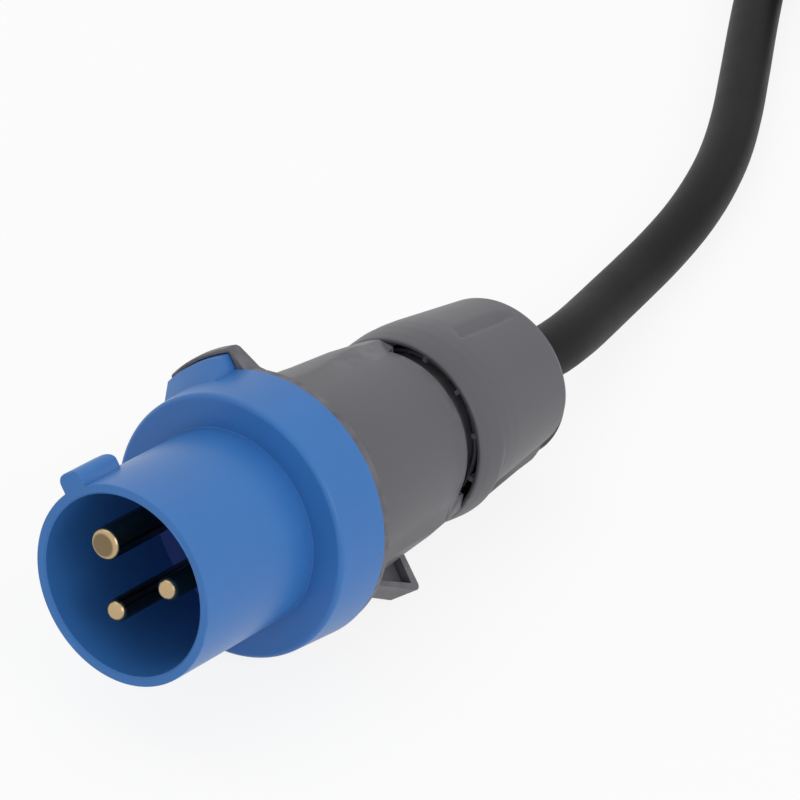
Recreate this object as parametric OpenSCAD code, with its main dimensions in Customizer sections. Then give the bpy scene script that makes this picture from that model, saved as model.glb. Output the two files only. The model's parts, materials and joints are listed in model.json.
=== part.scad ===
// Straight pin and sleeve plug, 16 A, two poles and earth, earth position 6 h, with a rubber-sheathed supply lead.
// Most pieces are drawn upright in the plug's own axes: Z runs from the open rim of the shroud to the tail, and X
// points at the key. on_floor() then lays them down as the plug rests: on its flange, its hook and its gland nut.

/* [Shroud and flange] */
// Outside radius of the shroud
shroud_r = 21.85; // [21:0.05:23]
// Bore radius of the shroud
shroud_bore_r = 19.68; // [19:0.02:20.2]
// Length of the shroud in front of the flange
shroud_length = 36; // [34:0.5:40]
// Depth of the shroud's floor below its rim
cavity_depth = 37; // [36.6:0.1:38]
// Radius of the flange's front face at its rounded edge
flange_front_r = 29.2; // [28:0.1:29.6]
// Radius of the flange at its rear edge
flange_r = 30; // [29.8:0.1:32]
// Length of the flange
flange_length = 14; // [12:0.5:17]
// Rounding of the flange's front edge
flange_edge = 1.25; // [0.75:0.25:3]
// Thickness of the flange's front wall
flange_wall = 5; // [4:0.25:6]

/* [Key and lugs] */
// Width of the key on the shroud
key_width = 5.8; // [5:0.1:6.4]
// Radius over the top of the key
key_top_r = 25.45; // [24.8:0.05:26]
// Length of the key from the rim
key_length = 12; // [10:0.5:18]
// Rounding of the key's top and rear end
key_round = 2; // [1:0.1:2.6]
// Half angle that the blue lug takes up at its foot
lug_half_angle = 15.5; // [12:0.5:18]
// How far the blue lug stands out beyond the flange
lug_rise = 3.4; // [2.6:0.1:4.5]
// Distance from the lug's foot to the flange's rear edge
lug_length = 6.5; // [5:0.25:9]
// How much the lug's front leans back
lug_lean = 4.2; // [2:0.2:4.6]
// Thickness of the housing's lug over and beside the blue one
lug_cover = 1.1; // [0.8:0.1:2]
// Half angle of the housing's lug at its foot
cover_half_angle = 20; // [19.5:0.5:24]

/* [Contacts] */
// Radius of the circle that the pins stand on
pin_circle_r = 9.05; // [8.8:0.05:9.3]
// Radius of the line and neutral pins
pin_r = 2.5; // [2.4:0.05:2.6]
// Radius of the earth pin
earth_pin_r = 3.5; // [3.4:0.05:3.6]
// Depth of the line and neutral tips below the rim
pin_tip_depth = 2.4; // [1:0.1:4]
// Depth of the earth tip below the rim
earth_tip_depth = 0.4; // [0.2:0.1:2]
// Thickness of the contact carrier
carrier_thickness = 9; // [8:0.5:11]
// Thickness of the plate that keeps the pins in
retainer_thickness = 2.6; // [2:0.2:3.4]
// How much thicker a pin is inside the carrier
pin_seat = 0.2; // [0.1:0.05:0.4]
// Thickness of a pin's collar
collar_thickness = 4; // [3:0.5:5]
// How much a pin's collar stands out beyond its pin
collar_rise = 1.2; // [0.8:0.1:1.5]
// Radius of a terminal barrel
barrel_r = 4; // [3.7:0.1:4.3]
// Length of a terminal barrel behind the retainer plate
barrel_length = 12.5; // [12:0.5:15]
// Radius of the hole for the conductor
conductor_hole_r = 1.9; // [1.7:0.05:2.1]
// Depth of the hole for the conductor
conductor_hole_depth = 10; // [9:0.5:11.5]
// Thread radius of a terminal screw
screw_r = 2; // [1.75:0.05:2.1]
// Length of a terminal screw
screw_length = 5; // [4:0.5:6]
// Thread radius of the retainer plate's screw
centre_screw_r = 1.5; // [1.25:0.05:1.6]
// Head radius of the retainer plate's screw
centre_head_r = 2.7; // [2.4:0.1:2.9]

/* [Housing] */
// Length of the housing from the flange to the gland nut's lip
body_length = 47.5; // [46:0.5:52]
// How far the housing's collar stays inside the flange
collar_inset = 0.4; // [0.2:0.1:0.7]
// Length of the collar
collar_length = 2.2; // [1.6:0.1:3]
// Radius of the side panels behind the collar
body_front_r = 25; // [24.8:0.1:25.4]
// Radius of the raised bands behind the collar
band_front_r = 26; // [25.8:0.1:26.4]
// Radius of the side panels at their rear end
body_rear_r = 20.2; // [19.8:0.1:20.6]
// Radius of the raised bands at their rear end
band_rear_r = 21.45; // [21.1:0.05:21.6]
// Wall thickness of the housing
wall = 3; // [2.4:0.1:3.4]
// Outside radius of the threaded neck
neck_r = 18; // [17.8:0.05:18.1]
// Length of the threaded neck
neck_length = 17; // [15:0.5:18]
// How far the side panels stop short of the gland nut's lip
lip_gap = 5; // [3:0.25:5.5]
// Wall thickness of the neck at its mouth
neck_wall = 2.5; // [2.2:0.1:2.7]

/* [Hook] */
// Width of the hook
hook_width = 7.85; // [7:0.05:9]
// Radius over the hook's tip
hook_r = 31; // [30.6:0.1:31.8]
// Distance from the flange's rear edge to the hook's rear face
hook_reach = 28; // [26:0.5:30]
// Rounding of the hook's tip
hook_round = 1.1; // [0.6:0.1:1.4]
// Thickness of the web between the hook's two recesses
hook_web = 3.05; // [2.4:0.05:4]

/* [Gland] */
// Pitch of the gland thread
thread_pitch = 3; // [2:0.5:4]
// Length of the gland nut
nut_length = 38.3; // [37.5:0.1:40]
// Largest radius of the gland nut
nut_r = 22.4; // [22.2:0.05:22.8]
// Radius of the gland nut near its tail, where it rests on the floor
nut_foot_r = 19.6; // [19.2:0.1:20]
// Radius of the nut's flat end
nut_end_r = 17; // [16:0.25:17.5]
// Radius of the hole in the nut for the cable
nut_hole_r = 8.3; // [8:0.1:9.5]
// Depth of the finger hollows in the nut
hollow_depth = 3.5; // [2.5:0.25:4]
// Depth of the grip grooves in the nut
groove_depth = 1.5; // [1:0.1:2]
// Number of ribs inside the nut's lip
lip_ribs = 12; // [6:2:16]
// Number of clamping fingers
fingers = 10; // [8:1:12]
// Width of the slot between two clamping fingers
finger_slot = 1.4; // [1:0.1:2]

/* [Cable] */
// Radius of the cable's sheath
cable_r = 6.3; // [5.8:0.05:6.5]
// Radius of an insulated core
core_r = 1.8; // [1.6:0.05:1.9]
// Radius of a core's end sleeve where the strands are crimped
sleeve_r = 1.25; // [1.1:0.05:1.4]
// Middle radius of the stored coil
coil_r = 69; // [64:0.5:72]
// Width of the straps round the coil
strap_width = 12; // [8:1:20]
// Thickness of the straps
strap_thickness = 0.8; // [0.6:0.1:1.2]
// Length of bare cores at the lead's far end
core_end_length = 42; // [30:1:50]

/* [Fits] */
// Clearance between pieces that are screwed or pushed together
seat_gap = 0.1; // [0.05:0.05:0.15]
// Clearance between pieces that move past each other
turn_gap = 0.3; // [0.25:0.05:0.4]

/* [Hidden] */
$fn = 72;
POLES = ["earth", "line", "neutral"];
CORES = ["green_yellow", "brown", "blue"];

BLUE = [0.16, 0.33, 0.62];
DARK_BLUE = [0.10, 0.22, 0.47];
GREY = [0.43, 0.43, 0.44];
BRASS = [0.78, 0.64, 0.36];
BLACK = [0.12, 0.12, 0.13];
STEEL = [0.72, 0.72, 0.72];
CORE_COLOURS = [[0.35, 0.65, 0.20], [0.40, 0.22, 0.12], [0.15, 0.30, 0.75]];

// Stations along the plug's axis
rim_edge = 0.45;
flange_end = shroud_length + flange_length;
recess_floor = shroud_length + flange_wall;
carrier_r = shroud_bore_r + 0.72;
seal_thickness = 2.6;
seal_width = 3.4;
spigot_r = carrier_r + 1.8;
spigot_end = flange_end + 8;
recess_r = spigot_r + seal_width;
lug_top_r = flange_r + lug_rise;
lug_tail_r = flange_r + 0.2;
collar_r = flange_r - collar_inset;
carrier_end = cavity_depth + carrier_thickness;
retainer_end = carrier_end + retainer_thickness;
barrel_end = retainer_end + barrel_length;
screw_z = barrel_end - conductor_hole_depth / 2;
body_start = flange_end;
body_end = flange_end + body_length;
nut_start = body_end + 0.5;
panel_end = nut_start - lip_gap;
shoulder_end = body_end + 1.5;
neck_end = shoulder_end + neck_length;
nut_end = nut_start + nut_length;
nut_round = nut_foot_r - nut_end_r;
nut_foot_z = nut_end - nut_round;
neck_bore_r = neck_r - neck_wall;
seat_z = shoulder_end + 5;
cage_z = seat_z + seat_gap;
ring_z = neck_end + 3.5;
pin_angles = [0, 120, 240];
pin_radii = [earth_pin_r, pin_r, pin_r];
tip_depths = [earth_tip_depth, pin_tip_depth, pin_tip_depth];

// The resting pose: the plug tips back onto its nut, and rolls until the hook meets the floor
tilt = atan((flange_r - nut_end_r) / (nut_foot_z - flange_end))
    - asin(nut_round / norm([flange_r - nut_end_r, nut_foot_z - flange_end]));
hook_tip_z = flange_end + hook_reach - hook_round * (1 - sin(tilt));
hook_corner_r = norm([hook_r, hook_width / 2]);
hook_drop = flange_r - tan(tilt) * (hook_tip_z - flange_end);
roll = acos(min(1, hook_drop / hook_corner_r)) + atan2(hook_width / 2, hook_r);
rim_height = flange_end * sin(tilt) + flange_r * cos(tilt);
rim_x = -(nut_end * cos(tilt) + nut_end_r * sin(tilt) - shroud_r * sin(tilt)) / 2;
function laid(p) = [
    rim_x + p.z * cos(tilt) + (p.x * cos(roll) + p.y * sin(roll)) * sin(tilt),
    p.x * sin(roll) - p.y * cos(roll),
    rim_height - p.z * sin(tilt) + (p.x * cos(roll) + p.y * sin(roll)) * cos(tilt)];

// The lead's route over the floor, from the gland to the coil
lead_start = laid([0, 0, nut_end]);
lead_next = laid([0, 0, nut_end + 11]);
LEAD = [lead_start, lead_next, [92, 0.9, 15.2], [104, 2.9, 12.9], [116, 5.6, 10.7], [128, 8.2, 8.9],
    [140, 10.5, 7.5], [156, 13.1, 6.6], [173, 16.3, 6.35], [190, 20.8, 6.3], [207, 26.8, 6.3],
    [225, 34.9, 6.3], [246, 45.6, 6.3], [268, 57, 6.35], [291, 68.6, 6.55], [315, 80.8, 6.85],
    [341, 94, 7.1]];

// The stored coil: two turns on the floor, and a third in the groove between them
coil_centre = [376, 27];
coil_base = strap_thickness + cable_r;
coil_top = coil_base + cable_r * sqrt(3);
coil_end_y = coil_centre.y - coil_r;
END = [for (p = [[0, 0], [-12, 0.2], [-24, 0], [-36, -1], [-45, -2.2]])
    [coil_centre.x + p[0], coil_end_y, coil_top + p[1]]];
FAN = [1, -8, 8];
core_end_drop = 5.5;

function arc(centre, r, from, to, steps = 6) = [for (i = [0:steps])
    let (a = from + (to - from) * i / steps) [centre[0] + r * cos(a), centre[1] + r * sin(a)]];
function on_circle(r, angle, z) = [r * cos(angle), r * sin(angle), z];
function unit(v) = v / norm(v);
function heading(path, i) = unit(path[min(i + 1, len(path) - 1)] - path[max(i - 1, 0)]);
function ring_of(path, i, r, sides) =
    let (t = heading(path, i), side = unit(cross(t, [0, 0, 1])), up = cross(side, t))
    [for (k = [0:sides - 1]) path[i] + r * (cos(360 * k / sides) * side + sin(360 * k / sides) * up)];

// A round tube swept along a path of points in space
module tube(path, r, sides = 10) {
    n = len(path);
    points = [for (i = [0:n - 1]) each ring_of(path, i, r, sides)];
    walls = [for (i = [0:n - 2]) for (k = [0:sides - 1])
        let (a = i * sides + k, b = i * sides + (k + 1) % sides)
        each [[a, b, b + sides], [a, b + sides, a + sides]]];
    first = [for (k = [sides - 1:-1:0]) k];
    last = [for (k = [0:sides - 1]) (n - 1) * sides + k];
    polyhedron(points, concat(walls, [first, last]));
}

// Lays what is drawn in the plug's own axes down on the floor
module on_floor() {
    translate([rim_x, 0, rim_height]) rotate([0, 90 + tilt, 0]) rotate([0, 0, 180 - roll]) children();
}

// Everything on the inner side of a plane through a point, with its outward normal
module half_space(point, normal) {
    size = 200;
    n = unit(normal);
    translate(point) rotate([0, acos(n.z), atan2(n.y, n.x)])
        translate([-size / 2, -size / 2, -size]) cube(size);
}

// A block with the given outline in (r, z), seen from the side, and a width across it
module side_profile(outline, width) {
    translate([0, width / 2, 0]) rotate([90, 0, 0]) linear_extrude(width) polygon(outline);
}

// ---- Front part ----

module front_shroud() {
    color(BLUE) on_floor() {
        difference() {
            union() {
                rotate_extrude() polygon(shroud_outline());
                key();
                lug(0);
            }
            translate([0, 0, -1]) cylinder(r = shroud_bore_r, h = cavity_depth);
        }
    }
}

function shroud_outline() = concat(
    [[shroud_bore_r, rim_edge], [shroud_bore_r + rim_edge, 0]],
    arc([shroud_r - rim_edge, rim_edge], rim_edge, -90, 0, 3),
    arc([shroud_r + 0.35, shroud_length - 0.35], 0.35, 180, 90, 2),
    arc([flange_front_r - flange_edge, shroud_length + flange_edge], flange_edge, -90, 0, 6),
    [[flange_r, flange_end], [recess_r, flange_end], [recess_r, recess_floor], [spigot_r, recess_floor],
    [spigot_r, spigot_end], [carrier_r + seat_gap, spigot_end], [carrier_r + seat_gap, cavity_depth],
    [shroud_bore_r, cavity_depth]]);

module key() {
    inner = shroud_r - 1;
    half = key_width / 2 - key_round;
    intersection() {
        linear_extrude(key_length) {
            translate([inner, -key_width / 2]) square([key_top_r - key_round - inner, key_width]);
            translate([inner, -half]) square([key_top_r - inner, 2 * half]);
            for (side = [-1, 1]) translate([key_top_r - key_round, side * half]) circle(key_round);
        }
        side_profile(concat([[inner, 0], [key_top_r - 0.3, 0], [key_top_r, 0.3]],
            arc([key_top_r - key_round, key_length - key_round], key_round, 0, 90),
            [[inner, key_length]]), key_width + 1);
    }
}

// The blue lug on the flange, or the space around it when it is grown
module lug(grow) {
    foot = flange_end - lug_length - grow;
    tail = flange_end + 1.2 + grow;
    top = lug_top_r + grow;
    half = flange_r * sin(lug_half_angle) + 0.2 + grow;
    bevel = 0.8;
    inner = recess_r + 0.5;
    intersection() {
        rotate_extrude() polygon([[inner, foot], [flange_front_r + 0.3, foot], [top, foot + lug_lean],
            [top, tail], [lug_tail_r, tail], [lug_tail_r, flange_end], [inner, flange_end]]);
        translate([inner - 5, 0, 0]) rotate([90, 0, 90]) linear_extrude(40)
            polygon([[-half, tail], [half, tail], [half, foot + bevel], [half - bevel, foot],
                [bevel - half, foot], [-half, foot + bevel]]);
    }
}

module contact_carrier() {
    color(DARK_BLUE) on_floor() difference() {
        translate([0, 0, cavity_depth]) cylinder(r = carrier_r, h = carrier_thickness);
        for (i = [0:2]) at_pin(i) {
            cylinder(r = pin_radii[i] + pin_seat + seat_gap / 2, h = carrier_end + 1);
            translate([0, 0, carrier_end - collar_thickness])
                cylinder(r = pin_radii[i] + collar_rise + seat_gap, h = collar_thickness + 1);
        }
        translate([0, 0, cavity_depth + 3]) cylinder(r = centre_screw_r + seat_gap, h = carrier_thickness);
    }
}

module at_pin(i) {
    rotate([0, 0, pin_angles[i]]) translate([pin_circle_r, 0, 0]) children();
}

module pin_retainer() {
    divider = 1.8;
    boss_r = centre_head_r + 0.8;
    reach = carrier_r - 2;
    color(DARK_BLUE) on_floor() difference() {
        union() {
            translate([0, 0, carrier_end]) cylinder(r = carrier_r - 0.4, h = retainer_thickness);
            translate([0, 0, retainer_end]) cylinder(r = boss_r, h = barrel_length - 2);
            for (a = pin_angles) rotate([0, 0, a + 60]) translate([0, -divider / 2, retainer_end])
                cube([reach, divider, barrel_length]);
        }
        for (i = [0:2]) at_pin(i) translate([0, 0, carrier_end - 1])
            cylinder(r = barrel_r + seat_gap, h = barrel_length + 9);
        translate([0, 0, carrier_end - 1]) cylinder(r = centre_screw_r + seat_gap, h = 30);
        translate([0, 0, barrel_end - 4]) cylinder(r = centre_head_r + seat_gap, h = 10);
    }
}

module retainer_screw() {
    slot = 0.7;
    head_z = barrel_end - 4;
    color(STEEL) on_floor() difference() {
        union() {
            translate([0, 0, cavity_depth + 4]) cylinder(r = centre_screw_r, h = head_z - cavity_depth - 3.9);
            translate([0, 0, head_z]) cylinder(r = centre_head_r, h = 1.8);
        }
        translate([-5, -slot / 2, head_z + 0.9]) cube([10, slot, 2]);
    }
}

module pin(i) {
    r = pin_radii[i];
    tip = tip_depths[i];
    dome = i == 0 ? 1 : 1.9;
    nose = i == 0 ? r - dome : 0.6;
    outline = concat([[0, tip]],
        [for (a = [0:15:90]) [nose + (r - nose) * sin(a), tip + dome * (1 - cos(a))]],
        [[r, cavity_depth], [r + pin_seat, cavity_depth], [r + pin_seat, carrier_end - collar_thickness],
        [r + collar_rise, carrier_end - collar_thickness],
        [r + collar_rise, carrier_end], [barrel_r, carrier_end], [barrel_r, barrel_end - 0.4],
        [barrel_r - 0.4, barrel_end], [0, barrel_end]]);
    color(BRASS) on_floor() difference() {
        at_pin(i) rotate_extrude() polygon(outline);
        at_pin(i) translate([0, 0, barrel_end - conductor_hole_depth])
            cylinder(r = conductor_hole_r, h = conductor_hole_depth + 1);
        at_screw(i) cylinder(r = screw_r + seat_gap / 2, h = barrel_r + 2);
    }
}

// Terminal screws point outwards from their pins
module at_screw(i) {
    at_pin(i) translate([0, 0, screw_z]) rotate([0, 90, 0]) children();
}

module terminal_screw(i) {
    slot = 0.8;
    color(STEEL) on_floor() at_screw(i) difference() {
        translate([0, 0, sleeve_r + 0.05]) cylinder(r = screw_r, h = screw_length);
        translate([-3, -slot / 2, sleeve_r + screw_length - 1]) cube([6, slot, 2]);
    }
}

module ferrule(i) {
    start = barrel_end - conductor_hole_depth + 0.4;
    color(STEEL) on_floor() at_pin(i) rotate_extrude()
        polygon(ferrule_outline(start, barrel_end + 0.4, barrel_end + 4));
}

// A crimped wire end: a thin sleeve with a wider collar that takes the core's insulation
function ferrule_outline(start, neck, end) = [[0, start], [sleeve_r, start], [sleeve_r, neck],
    [core_r + 0.4, neck + 0.8], [core_r + 0.4, end], [core_r + 0.06, end], [core_r + 0.06, neck + 0.9],
    [0, neck + 0.9]];

core_split = seat_z - 8;
core_start_r = 2.2;
function core_path(i) =
    let (from = barrel_end + 1.3, to = core_split, a = pin_angles[i])
    [for (k = [0:7]) let (t = k / 7, s = min(1, max(0, (t - 0.12) / 0.76)), e = s * s * (3 - 2 * s),
        r = pin_circle_r + (core_start_r - pin_circle_r) * e)
        laid([r * cos(a), r * sin(a), from + (to - from) * t])];

module core(i) {
    color(CORE_COLOURS[i]) tube(core_path(i), core_r, 8);
}

module front_seal() {
    color(BLACK) on_floor() rotate_extrude() polygon([[spigot_r + 0.2, recess_floor],
        [recess_r - 0.4, recess_floor], [recess_r - 0.4, recess_floor + seal_thickness],
        [spigot_r + 0.2, recess_floor + seal_thickness]]);
}

// ---- Housing ----

// Radius of the raised bands along the axis
function band_outline(d = 0) = [[band_front_r - d, flange_end + 3], [24.3 - d, flange_end + 16],
    [23.5 - d, flange_end + 24.6], [22.7 - d, flange_end + 37], [band_rear_r - d, body_end]];

module housing() {
    color(GREY) on_floor() difference() {
        union() {
            rotate_extrude() polygon(body_outline());
            for (side = [0, 180]) rotate([0, 0, side]) band();
            housing_lug();
            rotate([0, 0, 180]) hook();
        }
        rotate_extrude() polygon(bore_outline());
        lug(turn_gap);
    }
}

function body_outline() = [[recess_r - 0.3, recess_floor + seal_thickness], [recess_r - 0.3, flange_end],
    [collar_r, flange_end], [collar_r, flange_end + collar_length],
    [collar_r - 1.4, flange_end + collar_length + 0.8], [body_front_r + 0.4, flange_end + collar_length + 2.3],
    [body_front_r, flange_end + collar_length + 2.8], [body_rear_r, panel_end - 0.5],
    [body_rear_r - 0.5, panel_end], [neck_r + 0.6, panel_end], [neck_r + 0.6, shoulder_end],
    [neck_r, shoulder_end + 0.6], [neck_r, neck_end - 0.6], [neck_r - 0.6, neck_end], [0, neck_end],
    [0, recess_floor + seal_thickness]];

function bore_outline() = [[0, 0], [spigot_r + 1.4, 0], [spigot_r + 1.4, flange_end + 2],
    [spigot_r + 0.4, flange_end + 3.5], [spigot_r + 0.4, spigot_end + 0.5],
    [body_rear_r - wall, panel_end - 2], [neck_bore_r - 2.5, panel_end + 2], [neck_bore_r - 2.5, seat_z],
    [neck_bore_r, seat_z], [neck_bore_r, neck_end + 1], [0, neck_end + 1]];

// A raised band along the housing, bevelled down to the side panels. Its bevels are planes through its edge at
// both ends and through their foot on the panel, and it ends as a tongue over the gap before the gland nut.
module band() {
    front = flange_end + 10;
    edge_front = on_circle(band_front_r - 1, 31, front);
    edge_rear = on_circle(band_rear_r, 19, body_end);
    foot_front = on_circle(body_front_r - 0.6, 38, front);
    slope = cross(foot_front - edge_front, edge_rear - edge_front);
    reach = 40;
    intersection() {
        rotate_extrude() polygon(concat([[0, flange_end + 3]], band_outline(), [[0, body_end]]));
        half_space(edge_front, slope);
        mirror([0, 1, 0]) half_space(edge_front, slope);
        for (part = [[panel_end, 42], [body_end, 28.5]]) linear_extrude(part[0])
            polygon([[0, 0], [reach, -reach * tan(part[1])], [reach, reach * tan(part[1])]]);
    }
}

// The housing's lug, which takes the blue lug's tail in its pocket
module housing_lug() {
    front = flange_end + turn_gap;
    top = lug_top_r + lug_cover;
    foot = [flange_r * cos(cover_half_angle), flange_r * sin(cover_half_angle)];
    crown = [top * cos(15), top * sin(15)];
    lean = (crown[0] - foot[0]) / (foot[1] - crown[1]);
    base = 20;
    wide = foot[1] + (foot[0] - base) / lean;
    intersection() {
        rotate_extrude() polygon([[base, front], [top - 0.3, front], [top, front + 0.4], [top, front + 2.8],
            [top - 0.6, front + 3.4], [29, front + 4.6], [25.4, front + 8.5], [base, front + 8.5]]);
        linear_extrude(200) polygon([[base, -wide], [foot[0], -foot[1]], [crown[0], -crown[1]],
            [crown[0] + 4, -crown[1] + 2], [crown[0] + 4, crown[1] - 2], [crown[0], crown[1]],
            [foot[0], foot[1]], [base, wide]]);
    }
}

// The hook that the socket's hinged lid drops behind
module hook() {
    rear = flange_end + hook_reach;
    tip = [hook_r - hook_round, rear - hook_round];
    outline = concat([[20, rear - 16.2], [23.8, rear - 15.8], [26, rear - 11.5]],
        arc(tip, hook_round, -27, 90, 5), [[20, rear]]);
    recess = [[23.1, rear - 1.7], [hook_r - 1.9, rear - 1.9], [25.25, rear - 10.5], [23.7, rear - 8.1]];
    side = (hook_width - hook_web) / 2;
    difference() {
        side_profile(outline, hook_width);
        for (s = [-1, 1]) translate([0, s * (hook_width - side + 0.01) / 2, 0])
            side_profile(recess, side + 0.01);
    }
}

// ---- Cable gland ----

function nut_outline(d = 0) = concat([[0, nut_start], [nut_r - 0.8 - d, nut_start], [nut_r - 0.3 - d, nut_start + 3],
    [nut_r - d, nut_start + 6.5], [nut_r - 0.05 - d, nut_start + 10], [nut_r - 0.35 - d, nut_start + 14],
    [nut_foot_r + 0.86 - d, nut_foot_z - 7.6], [nut_foot_r - d, nut_foot_z]],
    arc([nut_end_r - d, nut_foot_z], nut_round, 0, 90, 5), [[0, nut_end]]);

nut_bore_r = neck_r + turn_gap;
lip_bore_r = nut_r - 1.95;
ring_outer_r = nut_bore_r - 1.7;
nut_floor = nut_end - 5.75;
function nut_bore_outline() = [[0, nut_start - 1], [lip_bore_r, nut_start - 1], [lip_bore_r, nut_start + 4.5],
    [nut_bore_r, nut_start + 5.5], [nut_bore_r, ring_z - turn_gap], [ring_outer_r + 0.3, ring_z - turn_gap],
    [ring_outer_r + 0.3, ring_z + 2.2], [12.9, nut_floor], [nut_hole_r, nut_floor],
    [nut_hole_r, nut_end - 1.5], [nut_hole_r + 1.5, nut_end], [nut_hole_r + 1.5, nut_end + 1], [0, nut_end + 1]];

module gland_nut() {
    color(GREY) on_floor() difference() {
        union() {
            difference() {
                rotate_extrude() polygon(nut_outline());
                rotate_extrude() polygon(nut_bore_outline());
            }
            for (i = [0:lip_ribs - 1]) rotate([0, 0, 21 + i * 360 / lip_ribs])
                translate([neck_r + 1.1, -0.4, nut_start + 0.4]) cube([lip_bore_r - neck_r - 0.9, 0.8, 4.2]);
        }
        for (side = [0, 180]) rotate([0, 0, side]) {
            finger_hollow();
            grip_groove();
        }
    }
}

// A hollow for a finger: its floor is the nut's own form, smaller and shifted, and it ends at a steep flank
module finger_hollow() {
    start = 106.5;
    flank = [17.7 * [cos(165.5), sin(165.5)], 19.1 * [cos(175.5), sin(175.5)]];
    way = unit(flank[1] - flank[0]);
    front = nut_start + 8.1;
    far = 32;
    difference() {
        intersection() {
            linear_extrude(nut_end + 1) polygon([10 * [cos(start), sin(start)], far * [cos(start), sin(start)],
                far * [cos(140), sin(140)], flank[1] + 10 * way, flank[0] - 3 * way, 12 * [cos(160), sin(160)]]);
            rotate_extrude() polygon([[8, front + nut_r - 8], [far, front + nut_r - far], [far, nut_end + 1],
                [8, nut_end + 1]]);
        }
        translate((hollow_depth + 0.05) * [cos(start), sin(start), 0])
            rotate_extrude() polygon(nut_outline(hollow_depth));
        translate([0, 0, nut_end - 0.6]) cylinder(r = 11, h = 1);
    }
}

// A hollow beside the finger hollow, parallel to the axis, that starts with a step and runs out on the nut's taper
module grip_groove() {
    front = nut_start + 12;
    scoop_r = 3.6;
    entry = 1.2;
    rotate([0, 0, 51.5]) translate([nut_r - 0.4 - groove_depth + scoop_r, 0, front]) {
        cylinder(r1 = scoop_r - entry, r2 = scoop_r, h = entry);
        translate([0, 0, entry - 0.1]) cylinder(r = scoop_r, h = nut_length);
    }
}

// Thickness lines of the clamp: the fingers' outer slope, and the ring that closes them
function finger_r(z) = neck_bore_r - 0.3 - 1.7 * min(1, max(0, (z - cage_z - 8) / 6.5))
    - 0.438 * max(0, z - cage_z - 14.5);
cage_end = nut_floor - 1.6;

module clamp_cage() {
    inner = cable_r + 0.25;
    outline = [[neck_bore_r - 2.4, cage_z], [neck_bore_r - 0.3, cage_z], [finger_r(cage_z + 8), cage_z + 8],
        [finger_r(cage_z + 14.5), cage_z + 14.5], [finger_r(cage_end), cage_end], [inner, cage_end],
        [inner, cage_end - 2.5], [finger_r(cage_z + 14.5) - 2.2, cage_z + 15.5],
        [neck_bore_r - 2.4, cage_z + 12]];
    color(BLACK) on_floor() difference() {
        rotate_extrude() polygon(outline);
        for (i = [0:fingers - 1]) rotate([0, 0, (i + 0.5) * 360 / fingers])
            translate([1, -finger_slot / 2, cage_z + 8]) cube([20, finger_slot, 30]);
    }
}

module cable_seal() {
    outer = neck_bore_r - 2.6;
    color(BLACK) on_floor() rotate_extrude() polygon([[cable_r + 0.05, cage_z], [outer, cage_z],
        [outer, cage_z + 12], [finger_r(cage_z + 14.5) - 2.5, cage_z + 15.3], [cable_r + 1.2, cage_z + 18.5],
        [cable_r + 0.05, cage_z + 18.5]]);
}

module thrust_ring() {
    inner = function (z) finger_r(z) + turn_gap + 0.05;
    rear = nut_floor - turn_gap;
    color(BLACK) on_floor() rotate_extrude() polygon([[inner(ring_z), ring_z], [ring_outer_r, ring_z],
        [ring_outer_r, ring_z + 2], [12.5, rear], [inner(cage_end), rear], [inner(cage_end), cage_end]]);
}

// ---- Supply lead ----

module cable_entry() {
    color(BLACK) on_floor() translate([0, 0, core_split]) cylinder(r = cable_r, h = nut_end - core_split);
}

module cable_lead() {
    color(BLACK) tube(LEAD, cable_r, 12);
}

module cable_coil() {
    color(BLACK) translate([coil_centre.x, coil_centre.y, 0]) rotate_extrude() bundle(0);
}

// The section through the coil's three turns, grown by the strap's thickness where asked
module bundle(grow) {
    r = cable_r + grow;
    rise = cable_r * sqrt(3);
    polygon(concat(arc([coil_r + cable_r, coil_base], r, -90, 30, 8), arc([coil_r, coil_base + rise], r, 30, 150, 8),
        arc([coil_r - cable_r, coil_base], r, 150, 270, 8)));
}

module coil_strap(angle) {
    turn = 360 * strap_width / (2 * PI * coil_r);
    color(BLACK) translate([coil_centre.x, coil_centre.y, 0]) rotate([0, 0, angle])
        rotate_extrude(angle = turn) difference() {
            bundle(strap_thickness);
            bundle(0.05);
        }
}

module cable_end() {
    color(BLACK) tube(END, cable_r, 12);
}

function end_core_path(i) =
    let (from = END[len(END) - 1], way = heading(END, len(END) - 1), side = unit(cross(way, [0, 0, 1])),
        up = cross(side, way), a = 90 + 120 * i)
    [for (k = [0:5]) let (t = k / 5, bend = pow(max(0, t - 0.2), 2))
        from + way * core_end_length * 0.7 * t + side * (core_start_r * cos(a) + FAN[i] * bend)
        + up * (core_start_r * sin(a) - core_end_drop * bend)];

module end_core(i) {
    color(CORE_COLOURS[i]) tube(end_core_path(i), core_r, 8);
}

module end_ferrules() {
    for (i = [0:2]) {
        path = end_core_path(i);
        last = path[5];
        way = unit(path[5] - path[4]);
        color(STEEL) translate(last) rotate([0, acos(way.z), atan2(way.y, way.x)]) rotate_extrude()
            polygon([[0, 0], [core_r + 0.3, 0], [core_r + 0.3, 3.4], [sleeve_r, 4.2],
                [sleeve_r, core_end_length * 0.3], [0, core_end_length * 0.3]]);
    }
}

front_shroud();
contact_carrier();
pin_retainer();
retainer_screw();
for (i = [0:2]) {
    pin(i);
    terminal_screw(i);
    ferrule(i);
    core(i);
    end_core(i);
}
front_seal();
housing();
clamp_cage();
cable_seal();
thrust_ring();
gland_nut();
cable_entry();
cable_lead();
cable_coil();
coil_strap(-150);  // coil_strap_front
coil_strap(30);  // coil_strap_back
cable_end();
end_ferrules();
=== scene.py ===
"""Finish and fine detail for a 16 A pin and sleeve plug and its coiled rubber cable.

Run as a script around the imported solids. The plug's own axes are found from the record: Z runs from
the shroud's rim to the tail, and X points at the key.
"""

import contextlib
import json
import math

import bmesh
import bpy
from mathutils import Matrix, Vector


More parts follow.
